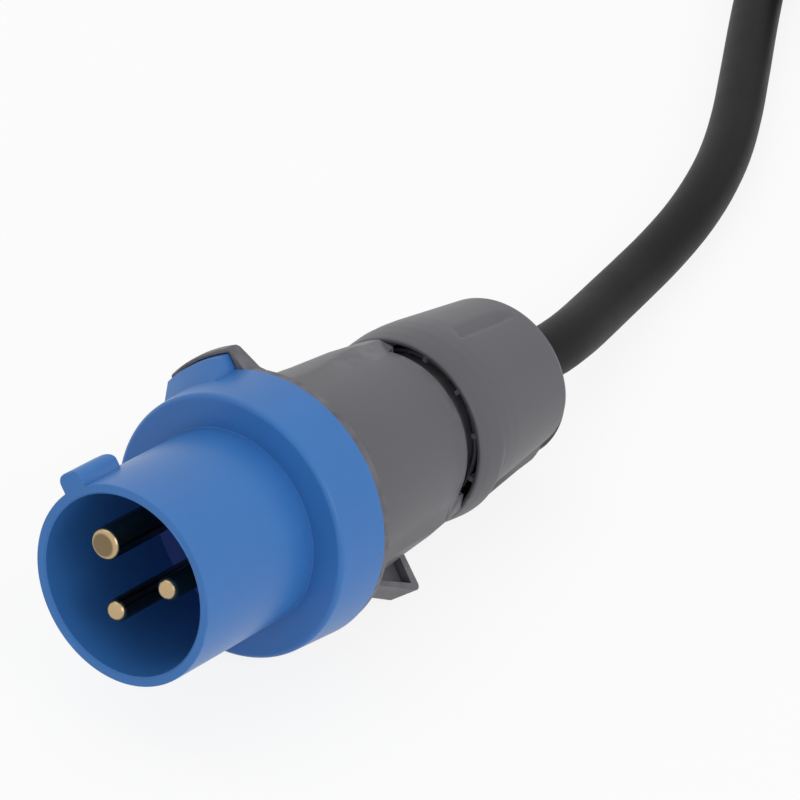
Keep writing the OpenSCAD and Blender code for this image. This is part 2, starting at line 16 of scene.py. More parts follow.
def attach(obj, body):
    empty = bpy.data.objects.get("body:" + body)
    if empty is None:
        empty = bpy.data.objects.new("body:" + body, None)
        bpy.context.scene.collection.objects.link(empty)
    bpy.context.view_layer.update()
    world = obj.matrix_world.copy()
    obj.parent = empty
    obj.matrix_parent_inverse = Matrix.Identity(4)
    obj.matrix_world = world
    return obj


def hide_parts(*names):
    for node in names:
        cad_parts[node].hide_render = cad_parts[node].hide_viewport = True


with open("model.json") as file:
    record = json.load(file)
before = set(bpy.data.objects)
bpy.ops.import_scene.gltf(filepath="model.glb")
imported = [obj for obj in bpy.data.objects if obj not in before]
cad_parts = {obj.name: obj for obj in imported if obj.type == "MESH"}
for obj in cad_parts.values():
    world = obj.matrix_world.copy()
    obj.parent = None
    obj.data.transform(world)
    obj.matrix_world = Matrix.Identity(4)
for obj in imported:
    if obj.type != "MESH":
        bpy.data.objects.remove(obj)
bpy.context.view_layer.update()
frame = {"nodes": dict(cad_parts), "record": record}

bl_info = {
    "name": "Pin and Sleeve Plug",
    "version": (1, 0, 0),
    "blender": (4, 5, 0),
    "location": "View3D > Sidebar > Plug",
    "description": "Finishes a pin and sleeve plug with its gland nut, contacts and coiled cable",
    "category": "Object",
}

MM = 0.001
WHITE = (1, 1, 1, 1)
MOUNTS = {mount["name"]: mount for mount in frame["record"]["mounts"]}
RIM = Vector(MOUNTS["shroud_interface"]["pos_m"])
AXIS = -Vector(MOUNTS["shroud_interface"]["axis"]).normalized()
TO_EARTH = Vector(MOUNTS["earth_pin"]["pos_m"]) - RIM
KEY_WAY = (TO_EARTH - AXIS * TO_EARTH.dot(AXIS)).normalized()
ACROSS = AXIS.cross(KEY_WAY)
PLUG_AXES = Matrix.Translation(RIM) @ Matrix((KEY_WAY, ACROSS, AXIS)).transposed().to_4x4()
TO_PLUG = PLUG_AXES.inverted()

# All sizes above the settings are in millimetres and degrees, and stations count from the shroud's rim.
# Depths closer than CLOSE are the same, a point of the solids lies within MARGIN of the radius that is
# looked for, and edges that bend by more than SHARP_BEND are sharp.
CLOSE = 1e-4
MARGIN = 0.1
SHARP_BEND = 28.0

# The housing's side panels and neck in the solids, each corner a radius and a station. What lies up to
# PANEL_REACH outside the rear corner belongs to it.
PANEL_FRONT = (25.0, 55.0)
PANEL_REAR = (20.2, 92.5)
PANEL_END = 93.0
PANEL_REACH = 0.7
NECK_SHOULDER = 18.6
NECK_CREST = 18.0

# What is made of them here: panels that reach further back, and a neck with a real thread
PANEL_CUT = PANEL_REAR[1] - 1.2
PANEL_SHIFT = 2.7
PANEL_CHAMFER = 0.6
NECK_ROOT = 16.9
NECK_FOOT = NECK_ROOT + 0.5
THREAD_START = 100.0
THREAD_END = 114.8

# The gland nut: its profile, its two finger hollows and the grip groove beside each
NUT_START = 98.0
NUT_END = 136.3
NUT_R = 22.4
NUT_END_R = 17.0
NUT_ROUND = 2.6
NUT_FOOT_Z = NUT_END - NUT_ROUND
NUT_HOLE_R = 8.3
NUT_FLOOR = NUT_END - 5.75
NUT_SIDES = 360
LIP_BORE_R = NUT_R - 1.95
SEAL_SEAT_R = 12.9
RING_SEAT_R = 16.9
RING_Z = 119.5
NUT_PROFILE = [(NUT_START, 21.6), (NUT_START + 3, 22.1), (NUT_START + 6.5, 22.4), (NUT_START + 10, 22.35),
               (NUT_START + 14, 22.05), (NUT_FOOT_Z - 7.6, 20.46), (NUT_FOOT_Z, 19.6)]
HOLLOW_START = 106.5
HOLLOW_SPAN = 74.0
HOLLOW_DEPTH = 3.5
HOLLOW_FOOT = NUT_START + 8.1
CUT_FROM, CUT_TO = NUT_START + 6, NUT_END - 0.6
SOFT_TURNS = (-0.7, 0, 0.7)
SOFT_SHIFTS = (-0.3, 0, 0.3)
FLANK = ((17.7, 165.5), (19.1, 175.5))
GROOVE_AZIMUTH = 53.0
GROOVE_DEPTH = 0.9
GROOVE_SLOPE = 3.4
GROOVE_WALL = 0.9
GROOVE_LEAN = 0.3
GROOVE_FRONT = (NUT_START + 11, NUT_START + 12.4)
GROOVE_BACK = (NUT_START + 27, NUT_START + 35)
FAR = 99.0

# The ribs inside the nut's lip, which clear the thread
RIB_COUNT = 12
RIB_TURN = 21.0
RIB_MIDDLE = NUT_START + 2.5
RIB_CLEARANCE = 0.9
RIB_SINK = 0.1

# The lead's route over the floor, in the row frame
LEAD_STRAIGHT = 11.0
LEAD = [
    (92, 0.9, 15.2), (104, 2.9, 12.9), (116, 5.6, 10.7), (128, 8.2, 8.9), (140, 10.5, 7.5), (156, 13.1, 6.6),
    (173, 16.3, 6.35), (190, 20.8, 6.3), (207, 26.8, 6.3), (225, 34.9, 6.3), (246, 45.6, 6.3),
    (268, 57, 6.35), (291, 68.6, 6.55), (315, 80.8, 6.85),
]

# The coil: an outer turn, an inner one and one on top, with the sweeps over which it changes turn
COIL_CENTRE = (376.0, 27.0)
COIL_RADIUS = 69.0
COIL_ENTRY = 117.0
COIL_SWEEP = 927.0
COIL_STEP_IN = (290, 360)
COIL_CLIMB = (631, 702)
COIL_STEP_OUT = (690, 760)
COIL_SETTLE = (705, 765)
SHEATH_RADIUS = 6.3
STRAP_THICKNESS = 0.8
STRAP_WIDTH = 12.0
STRAPS = {"coil_strap_front": -150.0, "coil_strap_back": 30.0}
COIL_BASE = STRAP_THICKNESS + SHEATH_RADIUS
COIL_TOP = COIL_BASE + SHEATH_RADIUS * math.sqrt(3)

# The cable's stripped end, and its cores: where each lies in the sheath, and how far it fans out sideways
TAIL = [(-12, 0.2), (-24, 0.0), (-36, -1.0), (-45, -2.2)]
CORE_RADIUS = 1.8
CORE_LAY = 2.2
CORE_BARE = 29.4
CORE_STRAIGHT = 0.2
CORE_DROP = 5.5
CORE_SPLIT = 96.0
CORES = {"green_yellow": (90.0, 1.0), "brown": (210.0, -8.0), "blue": (330.0, 8.0)}

# The pins: where each stands on its circle, its radius and the rounding of its tip
PIN_CIRCLE = 9.05
TIP_CUTS = 6
# TIP_GLINT is the strength of the painted reflection on the pins' rounded tips.
TIP_GLINT = 0.9
PINS = {"earth": (0.0, 3.5, 1.3), "line": (120.0, 2.5, 2.0), "neutral": (240.0, 2.5, 2.0)}


def on_plug(x, y, z):
    """A point given in the plug's own axes in millimetres, in the row frame in metres."""
    return PLUG_AXES @ (Vector((x, y, z)) * MM)


# ---- Settings ----


class PlugFinishSettings(bpy.types.PropertyGroup):
    shroud_colour: bpy.props.FloatVectorProperty(
        name="Shroud colour", description="Colour of the shroud's polyamide", subtype="COLOR",
        default=(0.038, 0.170, 0.475), min=0, max=1)
    carrier_colour: bpy.props.FloatVectorProperty(
        name="Carrier colour", description="Colour of the contact carrier", subtype="COLOR",
        default=(0.075, 0.140, 0.480), min=0, max=1)
    housing_colour: bpy.props.FloatVectorProperty(
        name="Housing colour", description="Colour of the housing and the gland nut", subtype="COLOR",
        default=(0.102, 0.100, 0.112), min=0, max=1)
    pin_colour: bpy.props.FloatVectorProperty(
        name="Pin colour", description="Colour of the brass pins", subtype="COLOR",
        default=(0.20, 0.146, 0.083), min=0, max=1)
    edge_radius: bpy.props.FloatProperty(
        name="Edge radius", description="Rounding of the moulded edges", unit="LENGTH",
        default=0.35 * MM, min=0.05 * MM, max=1 * MM)
    grain_depth: bpy.props.FloatProperty(
        name="Grain depth", description="Depth of the moulds' fine grain", unit="LENGTH",
        default=0.02 * MM, min=0, max=0.2 * MM)


class PlugThreadSettings(bpy.types.PropertyGroup):
    pitch: bpy.props.FloatProperty(
        name="Pitch", description="Pitch of the gland thread", unit="LENGTH",
        default=3 * MM, min=1 * MM, max=5 * MM)
    crest_radius: bpy.props.FloatProperty(
        name="Crest radius", description="Radius over the thread", unit="LENGTH",
        default=18 * MM, min=15 * MM, max=20 * MM)
    depth: bpy.props.FloatProperty(
        name="Depth", description="Depth of the thread", unit="LENGTH",
        default=1.1 * MM, min=0.3 * MM, max=1.5 * MM)


class CableSettings(bpy.types.PropertyGroup):
    sheath_colour: bpy.props.FloatVectorProperty(
        name="Sheath colour", description="Colour of the rubber sheath", subtype="COLOR",
        default=(0.0065, 0.0065, 0.0075), min=0, max=1)
    sides: bpy.props.IntProperty(
        name="Sides", description="Faces round the sheath", default=32, min=12, max=64)
    line_colour: bpy.props.FloatVectorProperty(
        name="Line core", description="Colour of the line core", subtype="COLOR",
        default=(0.16, 0.055, 0.025), min=0, max=1)
    neutral_colour: bpy.props.FloatVectorProperty(
        name="Neutral core", description="Colour of the neutral core", subtype="COLOR",
        default=(0.030, 0.135, 0.480), min=0, max=1)


class PlugStageSettings(bpy.types.PropertyGroup):
    floor_colour: bpy.props.FloatVectorProperty(
        name="Floor colour", description="Colour of the floor", subtype="COLOR",
        default=(0.90, 0.90, 0.90), min=0, max=1)
    key_power: bpy.props.FloatProperty(
        name="Key light", description="Power of the large light above", default=2.4, min=0, max=200)
    fill_power: bpy.props.FloatProperty(
        name="Fill light", description="Power of the light beside the camera", default=5.0, min=0, max=200)
    sky_strength: bpy.props.FloatProperty(
        name="Sky strength", description="Brightness of the even light all round", default=0.70, min=0, max=2)


# ---- Shader groups and materials ----


def shader_group(name, inputs, outputs):
    """A group with float or vector inputs and float outputs: its tree, and its ends' sockets by name."""
    tree = bpy.data.node_groups.new(name, "ShaderNodeTree")
    for label, default in inputs.items():
        kind = "NodeSocketVector" if default is None else "NodeSocketFloat"
        socket = tree.interface.new_socket(label, in_out="INPUT", socket_type=kind)
        if default is not None:
            socket.default_value = default
    for label in outputs:
        tree.interface.new_socket(label, in_out="OUTPUT", socket_type="NodeSocketFloat")
    return tree, tree.nodes.new("NodeGroupInput").outputs, tree.nodes.new("NodeGroupOutput").inputs


def add(tree, kind, inputs=None, **settings):
    """A node with its settings and inputs: an input is a constant or another node's socket."""
    node = tree.nodes.new(kind)
    for name, value in settings.items():
        setattr(node, name, value)
    for name, value in (inputs or {}).items():
        if isinstance(value, bpy.types.NodeSocket):
            tree.links.new(value, node.inputs[name])
        else:
            node.inputs[name].default_value = value
    return node


def result(tree, kind, inputs=None, **settings):
    """The first output of a new node."""
    return add(tree, kind, inputs, **settings).outputs[0]


def calculate(tree, operation, *values, clamp=False):
    """What a Math node makes of its values."""
    return result(tree, "ShaderNodeMath", dict(enumerate(values)), operation=operation, use_clamp=clamp)


def stretch(tree, vector, factors):
    """A vector multiplied axis by axis."""
    return result(tree, "ShaderNodeVectorMath", {0: vector, 1: factors}, operation="MULTIPLY")


def noise(tree, vector, scale, detail, roughness=0.5):
    """Cloudy noise between 0 and 1."""
    return result(tree, "ShaderNodeTexNoise", {"Vector": vector, "Scale": scale, "Detail": detail,
                                               "Roughness": roughness})


def passing(tree, value, start, end):
    """Goes from 0 to 1 while a value goes from a start to an end."""
    return result(tree, "ShaderNodeMapRange", {"Value": value, "From Min": start, "From Max": end})


def vary(tree, mask, low, high):
    """A number between low and high, by a mask."""
    return result(tree, "ShaderNodeMapRange", {"Value": mask, "To Min": low, "To Max": high})


def mottle_group():
    """Slow cloudy variation, as in pigmented plastic and handled rubber: Value from 0 to 1."""
    tree, given, put = shader_group("mottle", {"Vector": None, "Scale": 60.0, "Contrast": 1.0}, ["Value"])
    centred = calculate(tree, "SUBTRACT", noise(tree, given["Vector"], given["Scale"], 5.0, 0.6), 0.5)
    spread = calculate(tree, "MULTIPLY", centred, given["Contrast"])
    tree.links.new(calculate(tree, "ADD", spread, 0.5, clamp=True), put["Value"])
    return tree


def grain_group():
    """Spark-eroded mould grain: fine pits over a soft ripple. Height from 0 to 1."""
    inputs = {"Vector": None, "Scale": 2600.0, "Ripple": 0.4}
    tree, given, put = shader_group("mould_grain", inputs, ["Height"])
    pits = result(tree, "ShaderNodeTexVoronoi", {"Vector": given["Vector"], "Scale": given["Scale"],
                                                 "Smoothness": 0.8}, feature="SMOOTH_F1")
    slow = noise(tree, given["Vector"], 320.0, 3.0)
    blend = result(tree, "ShaderNodeMix", {0: given["Ripple"], 2: pits, 3: slow}, data_type="FLOAT")
    tree.links.new(blend, put["Height"])
    return tree


def scuff_group():
    """Fine handling scratches that run mostly along X, in patches. Mask from 0 to 1."""
    tree, given, put = shader_group("scuffs", {"Vector": None, "Scale": 90.0, "Amount": 0.3}, ["Mask"])
    lines = noise(tree, stretch(tree, given["Vector"], (1.0, 14.0, 14.0)), given["Scale"], 4.0, 0.7)
    patches = noise(tree, given["Vector"], 55.0, 2.0)
    both = calculate(tree, "MULTIPLY", passing(tree, lines, 0.60, 0.74), passing(tree, patches, 0.46, 0.66))
    tree.links.new(calculate(tree, "MULTIPLY", both, given["Amount"]), put["Mask"])
    return tree


def edge_group():
    """Convex edges, lightened for handling and as a painted highlight, and concave creases, darkened as
    painted shade. Both from 0 to 1.
    """
    tree, given, put = shader_group("edge_wear_and_light", {"Vector": None, "Amount": 0.5}, ["Mask", "Crease"])
    pointed = tree.nodes.new("ShaderNodeNewGeometry").outputs["Pointiness"]
    broken = passing(tree, noise(tree, given["Vector"], 240.0, 4.0), 0.35, 0.65)
    # Convex edges, broken up, lightened partly for handling and partly as a painted highlight.
    both = calculate(tree, "MULTIPLY", passing(tree, pointed, 0.52, 0.60), broken)
    tree.links.new(calculate(tree, "MULTIPLY", both, given["Amount"]), put["Mask"])
    # Concave creases, darkened as painted shade.
    tree.links.new(passing(tree, pointed, 0.49, 0.44), put["Crease"])
    return tree


GROUP_MAKERS = {"mottle": mottle_group, "mould_grain": grain_group, "scuffs": scuff_group,
                "edge_wear_and_light": edge_group}
GROUPS = {}


def effect(tree, name, inputs):
    """One of the shared groups, built once and placed in a material with its own values: its outputs."""
    if name not in GROUPS:
        GROUPS[name] = GROUP_MAKERS[name]()
    return add(tree, "ShaderNodeGroup", inputs, node_tree=GROUPS[name]).outputs


def mottled(tree, spot, scale, contrast):
    """A mask of slow clouds."""
    return effect(tree, "mottle", {"Vector": spot, "Scale": scale, "Contrast": contrast})["Value"]


def grained(tree, spot, scale, ripple):
    """The height of a mould's grain."""
    return effect(tree, "mould_grain", {"Vector": spot, "Scale": scale, "Ripple": ripple})["Height"]


def new_material(name):
    """A node material: the material, its tree, its Principled shader and its object coordinates."""
    material = bpy.data.materials.new(name)
    material.use_nodes = True
    tree = material.node_tree
    shader = tree.nodes["Principled BSDF"]
    spot = tree.nodes.new("ShaderNodeTexCoord").outputs["Object"]
    return material, tree, shader, spot


def dress(tree, shader, colour, roughness, height=None, strength=0.3, distance=0.03 * MM):
    """Gives a shader its colour and its roughness, and its bumps where it has any."""
    tree.links.new(colour, shader.inputs["Base Color"])
    tree.links.new(roughness, shader.inputs["Roughness"])
    if height is not None:
        bump = add(tree, "ShaderNodeBump", {"Height": height, "Strength": strength, "Distance": distance})
        tree.links.new(bump.outputs["Normal"], shader.inputs["Normal"])


def along_plug(tree, spot):
    """Object coordinates turned so that X runs along the plug's axis, for marks that follow it."""
    turn = Matrix((AXIS, KEY_WAY, ACROSS)).to_euler()
    return result(tree, "ShaderNodeMapping", {"Vector": spot, "Rotation": tuple(turn)})


def along_piece(tree):
    """The piece's own UV map."""
    return result(tree, "ShaderNodeUVMap", uv_map="along")


def two_tone(tree, mask, first, second):
    """A colour between two, by a mask. Each is three numbers or another node's socket."""
    paints = [tone if isinstance(tone, bpy.types.NodeSocket) else (*tone, 1.0) for tone in (first, second)]
    mix = add(tree, "ShaderNodeMix", {"Factor": mask, 6: paints[0], 7: paints[1]}, data_type="RGBA")
    return mix.outputs[2]


def tinted(colour, factor):
    return tuple(min(1.0, channel * factor) for channel in colour)


def moulded_plastic(name, colour, gloss, grain_depth, scuff=0.25, edge_wear_and_glint=0.6):
    """Moulded polyamide: pigment clouds, fine grain, faint scratches, edges lightened for handling and as a
    painted highlight, and creases darkened as painted shade.
    """
    material, tree, shader, spot = new_material(name)
    clouds = mottled(tree, spot, 48.0, 1.6)
    turned = along_plug(tree, spot)
    scuffs = effect(tree, "scuffs", {"Vector": turned, "Scale": 90.0, "Amount": scuff})["Mask"]
    wear_and_light = effect(tree, "edge_wear_and_light", {"Vector": spot, "Amount": edge_wear_and_glint})
    body = two_tone(tree, clouds, tinted(colour, 0.94), tinted(colour, 1.06))
    # Edges lightened, partly for handling and partly as a painted highlight.
    lit = two_tone(tree, wear_and_light["Mask"], body, tinted(colour, 1.7))
    pale = two_tone(tree, scuffs, lit, [channel * 0.75 + 0.12 for channel in colour])
    # Creases darkened as painted shade.
    dark = two_tone(tree, wear_and_light["Crease"], pale, tinted(colour, 0.88))
    shader.inputs["Specular IOR Level"].default_value = 0.35
    rough = calculate(tree, "ADD", vary(tree, clouds, gloss - 0.04, gloss + 0.05), scuffs)
    dress(tree, shader, dark, rough, grained(tree, spot, 2600.0, 0.45), 0.35, grain_depth)
    return material


def turned_metal(name, colour, gloss, marks, polish_and_glint=1.5):
    """Turned metal: fine rings from the tool, a thin tarnish, and edges and tips that are brightened, partly
    as polishing and partly as a painted reflection.
    """
    material, tree, shader, spot = new_material(name)
    shader.inputs["Metallic"].default_value = 1.0
    clouds = mottled(tree, spot, 300.0, 1.1)
    edges = effect(tree, "edge_wear_and_light", {"Vector": spot, "Amount": 0.9})["Mask"]
    glint_mask = add(tree, "ShaderNodeAttribute", attribute_name="polish_and_glint").outputs["Fac"]
    body = two_tone(tree, clouds, tinted(colour, 0.93), tinted(colour, 1.04))
    # Edges and the marked tips brightened, partly as polishing and partly as a painted reflection.
    wear_and_light = two_tone(tree, calculate(tree, "MAXIMUM", edges, glint_mask), body, tinted(colour, polish_and_glint))
    rings = noise(tree, stretch(tree, along_plug(tree, spot), (12.0, 0.6, 0.6)), marks, 2.0)
    dress(tree, shader, wear_and_light, vary(tree, clouds, gloss - 0.05, gloss + 0.08), rings, 0.25, 0.01 * MM)
    return material


def sheath_rubber(name, colour, gloss):
    """Rubber sheath: fine lines drawn along the cable, talc in the pores and a soft sheen."""
    material, tree, shader, spot = new_material(name)
    lines = noise(tree, stretch(tree, along_piece(tree), (60.0, 6.0, 1.0)), 1.0, 5.0, 0.65)
    clouds = mottled(tree, spot, 90.0, 1.5)
    grain = grained(tree, spot, 1500.0, 0.6)
    dust = calculate(tree, "MULTIPLY", clouds, lines)
    shader.inputs["Specular IOR Level"].default_value = 0.10
    height = result(tree, "ShaderNodeMix", {0: 0.5, 2: grain, 3: lines}, data_type="FLOAT")
    dress(tree, shader, two_tone(tree, dust, tinted(colour, 0.85), tinted(colour, 1.9)),
          vary(tree, clouds, gloss - 0.05, gloss + 0.08), height, 0.5, 0.06 * MM)
    return material


def soft_moulding(name, colour, gloss, grain_scale=1400.0):
    """A plain rubber, nylon or thread: mottled, with a fine skin."""
    material, tree, shader, spot = new_material(name)
    clouds = mottled(tree, spot, 120.0, 1.4)
    dress(tree, shader, two_tone(tree, clouds, tinted(colour, 0.9), tinted(colour, 1.12)),
          vary(tree, clouds, gloss - 0.05, gloss + 0.06), grained(tree, spot, grain_scale, 0.5))
    return material


def striped_core(name, first, second):
    """Core insulation in two colours, in stripes along its length."""
    material, tree, shader, spot = new_material(name)
    split = add(tree, "ShaderNodeSeparateXYZ", {0: along_piece(tree)}).outputs
    wave = calculate(tree, "SINE", calculate(tree, "MULTIPLY", split["X"], math.tau))
    clouds = mottled(tree, spot, 160.0, 1.2)
    dress(tree, shader, two_tone(tree, passing(tree, wave, -0.05, 0.05), first, second),
          vary(tree, clouds, 0.32, 0.42))
    return material


def woven_strap(name, colour, thread=0.9 * MM):
    """Woven strap: over and under of warp and weft, with the dips painted darker and the crossings lighter as
    painted shade and highlight, and soft fibre sheen.
    """
    material, tree, shader, spot = new_material(name)
    split = add(tree, "ShaderNodeSeparateXYZ", {0: along_piece(tree)}).outputs
    warp, weft = [calculate(tree, "SINE", calculate(tree, "MULTIPLY", split[label], math.tau / thread))
                  for label in "XY"]
    height = passing(tree, calculate(tree, "MULTIPLY", warp, weft), -1.0, 1.0)
    shader.inputs["Sheen Weight"].default_value = 0.3
    # The colour follows the weave's height: painted shade in the dips, painted highlight on the crossings.
    dress(tree, shader, two_tone(tree, height, tinted(colour, 0.6), tinted(colour, 1.5)),
          vary(tree, mottled(tree, spot, 200.0, 1.2), 0.7, 0.85), height, 0.6, 0.15 * MM)
    return material


def recipes(finish, cable):
    """For each of the record's slots, the function that makes its material and what it is given."""
    grain = finish.grain_depth
    return {
        "blue_polyamide": (moulded_plastic, "shroud_polyamide", finish.shroud_colour, 0.36, grain),
        "carrier_blue": (moulded_plastic, "carrier_polyamide", finish.carrier_colour, 0.42, grain, 0.1, 0.35),
        "grey_polyamide": (moulded_plastic, "housing_polyamide", finish.housing_colour, 0.44, grain),
        "pin_brass": (turned_metal, "turned_brass", finish.pin_colour, 0.22, 900.0, 2.7),
        "zinc_steel": (turned_metal, "zinc_plated_steel", (0.60, 0.61, 0.63), 0.34, 500.0),
        "tinned_copper": (turned_metal, "tinned_copper", (0.70, 0.69, 0.67), 0.30, 700.0),
        "black_rubber": (sheath_rubber, "sheath_rubber", cable.sheath_colour, 0.46),
        "seal_rubber": (soft_moulding, "seal_rubber", (0.022, 0.022, 0.023), 0.62),
        "clamp_nylon": (soft_moulding, "clamp_nylon", (0.030, 0.030, 0.032), 0.42),
        "strap_fabric": (woven_strap, "strap_weave", (0.030, 0.030, 0.033)),
        "core_green_yellow": (striped_core, "core_green_yellow", (0.09, 0.34, 0.05), (0.75, 0.60, 0.03)),
        "core_brown": (soft_moulding, "core_brown", cable.line_colour, 0.38, 900.0),
        "core_blue": (soft_moulding, "core_blue", cable.neutral_colour, 0.38, 900.0),
    }


MADE = {}


def finish_of(slot, context):
    """The material for one of the record's slots, made once."""
    if slot not in MADE:
        maker, *values = recipes(context.scene.plug_finish, context.scene.plug_cable)[slot]
        MADE[slot] = maker(*values)
    return MADE[slot]


# ---- Meshes ----


@contextlib.contextmanager
def editing(mesh):
    """Opens a mesh for editing, and writes it back."""
    work = bmesh.new()
    work.from_mesh(mesh)
    yield work
    work.to_mesh(mesh)
    work.free()


def cut_across(work, station):
    """Cuts an open mesh's faces at a station of the plug, so that they can be moved on one side of it."""
    bmesh.ops.bisect_plane(work, geom=[*work.verts, *work.edges, *work.faces], dist=1e-7,
                           plane_co=on_plug(0, 0, station), plane_no=AXIS)


def front_of(mesh):
    """The station of a mesh's foremost point."""
    return min((TO_PLUG @ vert.co).z for vert in mesh.vertices) / MM


def add_piece(name, mesh):
    piece = bpy.data.objects.new(name, mesh)
    bpy.context.scene.collection.objects.link(piece)
    return piece


def seat(piece, body, slot, context, *nodes):
    """Gives a finished piece its material and its body, and hides the imported pieces that it stands for."""
    piece.data.materials.clear()
    piece.data.materials.append(finish_of(slot, context))
    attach(piece, body)
    if nodes:
        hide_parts(*nodes)


def bake_modifiers(piece):
    """Turns the evaluated piece into a plain mesh and drops its modifiers."""
    bpy.context.view_layer.update()
    graph = bpy.context.evaluated_depsgraph_get()
    mesh = bpy.data.meshes.new_from_object(piece.evaluated_get(graph), depsgraph=graph)
    old = piece.data
    piece.modifiers.clear()
    piece.data = mesh
    mesh.name = piece.name
    if old.users == 0:
        bpy.data.meshes.remove(old)


def merged_copy(name, node, reshape=None, cut=None):
    """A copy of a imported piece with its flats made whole, and then cut at a station and reshaped."""
    mesh = bpy.data.meshes.new(name)
    work = bmesh.new()
    work.from_mesh(frame["nodes"][node].data)
    bmesh.ops.remove_doubles(work, verts=work.verts, dist=1e-6)
    bmesh.ops.dissolve_limit(work, angle_limit=math.radians(0.4), verts=work.verts, edges=work.edges)
    if reshape:
        cut_across(work, cut)
        for vert in work.verts:
            vert.co = polar(*reshape(*to_plug(vert.co)))
    work.to_mesh(mesh)
    work.free()
    return add_piece(name, mesh)


def round_edges(piece, radius, segments=2):
    """Rounds the sharp outward edges, keeps the sharp inward ones crisp, and shades the rest smooth."""
    with editing(piece.data) as work:
        weight = work.edges.layers.float.new("bevel_weight_edge")
        for edge in work.edges:
            bend = math.degrees(edge.calc_face_angle_signed(0.0))
            edge[weight] = 1.0 if bend > SHARP_BEND else 0.0
            edge.smooth = edge.smooth and bend > -SHARP_BEND
    bevel = piece.modifiers.new("rounding", "BEVEL")
    bevel.width = radius
    bevel.segments = segments
    bevel.limit_method = "WEIGHT"
    bevel.use_clamp_overlap = True
    bevel.miter_outer = "MITER_ARC"
    for polygon in piece.data.polygons:
        polygon.use_smooth = True
    normals = piece.modifiers.new("shading", "WEIGHTED_NORMAL")
    normals.keep_sharp = True
    bake_modifiers(piece)


def smooth_path(points, step):
    """Points a step apart on a smooth curve through the given ones."""
    ends = [points[0] * 2 - points[1], *points, points[-1] * 2 - points[-2]]
    dense = []
    for a, b, c, d in zip(ends, ends[1:], ends[2:], ends[3:]):
        count = max(2, math.ceil((c - b).length / (step * 0.25)))
        for i in range(count):
            t = i / count
            dense.append(0.5 * (2 * b + (c - a) * t + (2 * a - 5 * b + 4 * c - d) * t * t
                                + (3 * b - a - 3 * c + d) * t ** 3))
    dense.append(points[-1].copy())
    kept, run = [dense[0]], 0.0
    for before, after in zip(dense, dense[1:]):
        run += (after - before).length
        if run >= step:
            kept.append(after)
            run = 0.0
    if (kept[-1] - dense[-1]).length > step * 0.4:
        kept.append(dense[-1])
    else:
        kept[-1] = dense[-1]
    return kept


def tube_mesh(name, path, radius, sides, edge=0.0):
    """A closed tube along a path, with rounded ends and a UV map in turns round and metres along."""
    radii = [radius] * len(path)
    if edge:
        way_in, way_out = (path[1] - path[0]).normalized(), (path[-1] - path[-2]).normalized()
        path = [path[0], path[0] + way_in * edge * 0.3, path[0] + way_in * edge, *path[1:-1],
                path[-1] - way_out * edge, path[-1] - way_out * edge * 0.3, path[-1]]
        rounded = [radius - edge, radius - edge * 0.3, radius]
        radii = rounded + [radius] * (len(path) - 6) + rounded[::-1]
    mesh = bpy.data.meshes.new(name)
    verts, faces, uvs = [], [], []
    way = (path[1] - path[0]).normalized()
    side = way.orthogonal().normalized()
    gone, along = 0.0, []
    for i, point in enumerate(path):
        step = path[min(i + 1, len(path) - 1)] - path[max(i - 1, 0)]
        heading = step.normalized()
        side = (side - heading * side.dot(heading)).normalized()
        up = heading.cross(side)
        if i:
            gone += (point - path[i - 1]).length
        along.append(gone)
        for k in range(sides):
            turn = math.tau * k / sides
            verts.append(point + (side * math.cos(turn) + up * math.sin(turn)) * radii[i])
    for i in range(len(path) - 1):
        for k in range(sides):
            nxt = (k + 1) % sides
            faces.append((i * sides + k, i * sides + nxt, (i + 1) * sides + nxt, (i + 1) * sides + k))
            uvs += [(k / sides, along[i]), ((k + 1) / sides, along[i]), ((k + 1) / sides, along[i + 1]),
                    (k / sides, along[i + 1])]
    faces.append(tuple(range(sides - 1, -1, -1)))
    faces.append(tuple((len(path) - 1) * sides + k for k in range(sides)))
    uvs += [(k / sides, 0.0) for k in range(sides)] + [(k / sides, along[-1]) for k in range(sides)]
    mesh.from_pydata(verts, [], faces)
    layer = mesh.uv_layers.new(name="along")
    for loop, uv in zip(layer.data, uvs):
        loop.uv = uv
    for polygon in mesh.polygons:
        polygon.use_smooth = len(polygon.vertices) == 4
    return mesh


def to_plug(point):
    """Cylinder coordinates about the plug's axis: radius and station in millimetres, azimuth in degrees."""
    local = TO_PLUG @ point
    return math.hypot(local.x, local.y) / MM, math.degrees(math.atan2(local.y, local.x)), local.z / MM


def polar(radius, azimuth, station):
    """A point in the row frame from cylinder coordinates about the plug's axis."""
    turn = math.radians(azimuth)
    return on_plug(radius * math.cos(turn), radius * math.sin(turn), station)


def ring_mesh(name, rings):
    """A smooth surface through rings of equal count, the last of which joins the first."""
    count = len(rings[0])
    faces = []
    for i in range(len(rings)):
        first, second = i * count, (i + 1) % len(rings) * count
        for k in range(count):
            nxt = (k + 1) % count
            faces.append((first + k, first + nxt, second + nxt, second + k))
    mesh = bpy.data.meshes.new(name)
    mesh.from_pydata([point for ring in rings for point in ring], [], faces)
    with editing(mesh) as work:
        bmesh.ops.recalc_face_normals(work, faces=work.faces)
    for polygon in mesh.polygons:
        polygon.use_smooth = True
    return mesh


def node_tree(name, kinds):
    """A geometry tree with named inputs: the tree, its ends' sockets, and its inputs' identifiers."""
    tree = bpy.data.node_groups.new(name, "GeometryNodeTree")
    tree.interface.new_socket("Geometry", in_out="OUTPUT", socket_type="NodeSocketGeometry")
    names = {}
    for label, kind in {**kinds, "Material": "Material"}.items():
        socket = tree.interface.new_socket(label, in_out="INPUT", socket_type=f"NodeSocket{kind}")
        names[label] = socket.identifier
    return tree, tree.nodes.new("NodeGroupInput").outputs, tree.nodes.new("NodeGroupOutput").inputs, names


